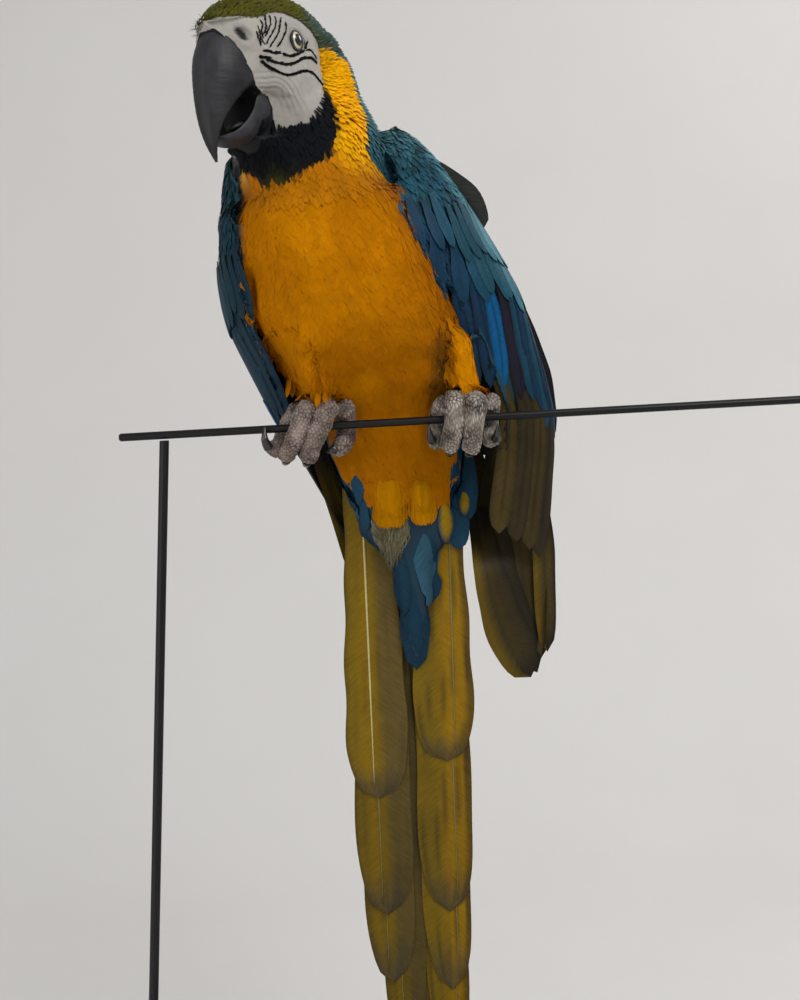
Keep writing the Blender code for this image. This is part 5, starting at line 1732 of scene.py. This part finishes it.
def add_black(vanes, path, side, up, half_width, tone, place):
    """One tiny black feather, with its place on the baking map."""
    shade = np.broadcast_to(BLACK * tone, (1, vanes.rows + 1, vanes.columns + 1, 3))
    vanes.add(path[None], side[None], up[None], np.array([half_width * MM]), shade,
              patch_uv(np.array([place]), vanes.rows, vanes.columns))


def add_line_feather(vanes, tree, start, go, sign, half_width):
    """One feather of a line, from a place beside the head along (f, u)."""
    hit, normal, _, _ = tree.ray_cast(Vector(start), Vector(-LEFT * sign))
    if hit is None:
        return
    normal = np.array(normal)
    ahead = from_head((go[0], 0.0, go[1])) - HEAD + rng.normal(0, 0.00018, 3)
    ahead = tangent(ahead, normal)
    reach = rng.uniform(1.5, 2.4) * vanes.t[:, None] * MM
    rise = (0.15 + 0.45 * vanes.t[:, None]) * MM
    path = np.array(hit) + ahead * reach + normal * rise
    up = np.broadcast_to(normal, path.shape)
    side = np.broadcast_to(unit(np.cross(ahead, normal)), path.shape)
    h = head_mm(hit)
    place = ((h[0] + 20.0) / 60.0 * 0.48 + (0.5 if sign < 0 else 0.0), (h[2] + 35.0) / 55.0)
    add_black(vanes, path, side, up, half_width, rng.uniform(0.7, 1.3), place)


def build_face_lines(tree):
    """Rows of tiny black feathers over the lores and under the eyes, and bristles over the bill's root."""
    vanes = Vanes("face_lines", 3, 2, tip=1.4, base=0.7, widest=0.4, camber=0.2)
    rows = [(sign, line, shift, width) for sign in SIDES.values() for lines, shifts, width in LINE_KINDS
            for line in lines for shift in shifts]
    for sign, line, shift, width in rows:
        curve = smooth_rows(line, 24)
        length = np.concatenate([[0], np.cumsum(np.linalg.norm(np.diff(curve, axis=0), axis=1))])
        at = np.arange(0.0, length[-1], LINE_STEP) + rng.uniform(0, 0.4)
        fu = np.stack([np.interp(at, length, curve[:, k]) for k in (0, 1)], 1)
        go = unit(np.gradient(fu, axis=0))
        across = (shift + rng.normal(0, 0.10, len(at)))[:, None]
        fu = fu + np.stack([-go[:, 1], go[:, 0]], 1) * across
        starts = from_head(np.stack([fu[:, 0], np.full(len(at), 45.0 * sign), fu[:, 1]], 1))
        for start, direction in zip(starts, go):
            add_line_feather(vanes, tree, start, direction, sign, width)
    for i in range(BRISTLES):
        t = rng.uniform(0.0, 1.0)
        above = from_head((46.0 - 3.0 * t, -3.0 - 13.0 * t, 12.0 - 7.0 * t))
        place, normal, _, _ = tree.find_nearest(Vector(above))
        ahead = unit(np.array(normal) * 0.7 + FWD * 0.5 - UP * rng.uniform(0.1, 0.5) + rng.normal(0, 0.16, 3))
        path = np.array(place) + ahead * (rng.uniform(4.0, 7.5) * vanes.t[:, None] * MM)
        side = np.broadcast_to(unit(np.cross(ahead, UP)), path.shape)
        add_black(vanes, path, side, np.cross(side, ahead), 0.16, rng.uniform(0.8, 1.6),
                  (0.1 + 0.8 * i / BRISTLES, 0.97))
    vanes.build(MATERIALS["down"])


# ---------------------------------------------------------------- the body's coat
def bare_near(points):
    """Keeps roots off the bare face and the bill."""
    h = head_mm(points)
    return (face_depth(h) < 0.5) & (h[:, 0] < 47.0) & ((h[:, 0] < 25.0) | (h[:, 2] > -30.0))


# the left wing's front edge: z, x
WING_EDGE = ((60.0, 46.0), (70.0, 40.0), (94.0, 28.0), (122.0, 15.0), (140.0, 8.0), (160.0, 4.0))
FRONT_TO = 92.0                   # degrees from the front to where the back's feathers start


def build_body_coat(tree):
    """The small feathers of crown, neck, breast, back and thighs."""
    def head_uv(p):
        h = head_mm(from_perch(p))
        turn = np.arctan2(h[:, 1], h[:, 2] + 17.0)
        return np.stack([turn / (2 * pi) * 0.98 + 0.5, (h[:, 0] + 50.0) / 105.0], 1)

    def neck_uv(p):
        return around_uv(p, 130.0, 225.0)

    def trunk_uv(p):
        return around_uv(p, -45.0, 142.0)

    def size(small, large):
        return lambda p: small + (large - small) * ease(p[:, 2], 215.0, 130.0)

    def thigh_uv(side):
        middle = perch_mm(box_middle("thigh_" + side))

        def unwrap(p):
            turn = np.arctan2(p[:, 0] - middle[0], middle[1] - p[:, 1])
            return np.stack([turn / (2 * pi) * 0.98 + 0.5, (p[:, 2] - middle[2]) / 70.0 + 0.5], 1)

        return unwrap

    def open_front(p):
        """Keeps roots out of the right side's fold and off the strip that the left wing's edge covers."""
        clear = p[:, 0] < band(WING_EDGE, p[:, 2], 1) - 2.0
        return (fold(p) < 0.3) & (clear | (p[:, 2] < 62.0) | (p[:, 2] > 162.0) | (p[:, 1] > 16.0))

    def front(points):
        p = perch_mm(points)
        return (np.abs(azimuth(p)) < FRONT_TO) & open_front(p)

    def outside_fold(points):
        return bare_near(points) & open_front(perch_mm(points))

    def behind(points):
        return np.abs(azimuth(perch_mm(points))) >= FRONT_TO

    def crown_length(p):
        return 5.5 - 2.0 * ease(head_mm(from_perch(p))[:, 0], 10, 40)

    def fluffy(least, most):
        return lambda p: least + most * fluffed(head_mm(from_perch(p)))

    def hanging(p):
        """Over the feet the thighs' feathers hang free."""
        return np.where(p[:, 2] < 36.0, 0.6, 9.0)

    coat("crown_coat", "head", tree, 1.45, crown_length, 1.7, body_flow, body_colour, "down",
         "feathers_green", head_uv, keep=bare_near, rows=3, low=0.7, high=fluffy(1.8, 2.6), reach=6.0,
         fringe=0.12, tip=1.4, tones={"spread": 0.10, "root": 0.76, "tip": 1.1})
    coat("neck_coat", "neck", tree, 1.7, size(6.0, 13.0), size(2.4, 4.2), body_flow, body_colour, "down",
         "feathers_gold", neck_uv, keep=outside_fold, low=0.3, high=fluffy(1.1, 3.0), uneven=0.15, reach=8.0,
         fringe=0.12, tones={"spread": 0.05, "root": 0.86, "tip": 1.06})
    coat("breast_coat", "trunk", tree, 2.2, 15.0, 5.2, body_flow, body_colour, "silk",
         "feathers_gold", trunk_uv, keep=front, low=0.3, high=0.75, uneven=0.07, turn=0.08, reach=6.0,
         fringe=0.05, camber=0.02, base=0.4, tip=1.3, tones={"spread": 0.025, "root": 0.97, "tip": 1.02})
    coat("back_coat", "trunk", tree, 4.0, 20.0, 11.0, body_flow, body_colour, "vane",
         "feathers_teal", trunk_uv, keep=behind, rows=5, columns=4, high=2.4,
         fringe=0.12, tones={"spread": 0.08, "root": 0.7, "tip": 1.1})
    for side in SIDES:
        coat("thigh_coat_" + side, "thigh_" + side, tree, 2.0, 12.5, 4.0, body_flow, body_colour, "silk",
             "feathers_gold", thigh_uv(side), rows=5, low=0.4, high=0.9, uneven=0.12, free=hanging,
             fringe=0.1, camber=0.03, tip=1.3, tones={"spread": 0.04, "root": 0.94, "tip": 1.04})


skin = build_skin()
skin_tree = surface(skin.data)
build_eyes()
build_bill()
build_feet()
build_stand()
build_face_lines(skin_tree)
build_body_coat(skin_tree)
for wing in SIDES:
    build_wing(wing, skin_tree)
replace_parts(skin, "trunk", "neck", "head", "thigh_left", "thigh_right", "wing_left", "wing_right")
build_tail()
build_vent(skin_tree)
build_rump(skin_tree)
build_backdrop()
build_lights()
build_camera()
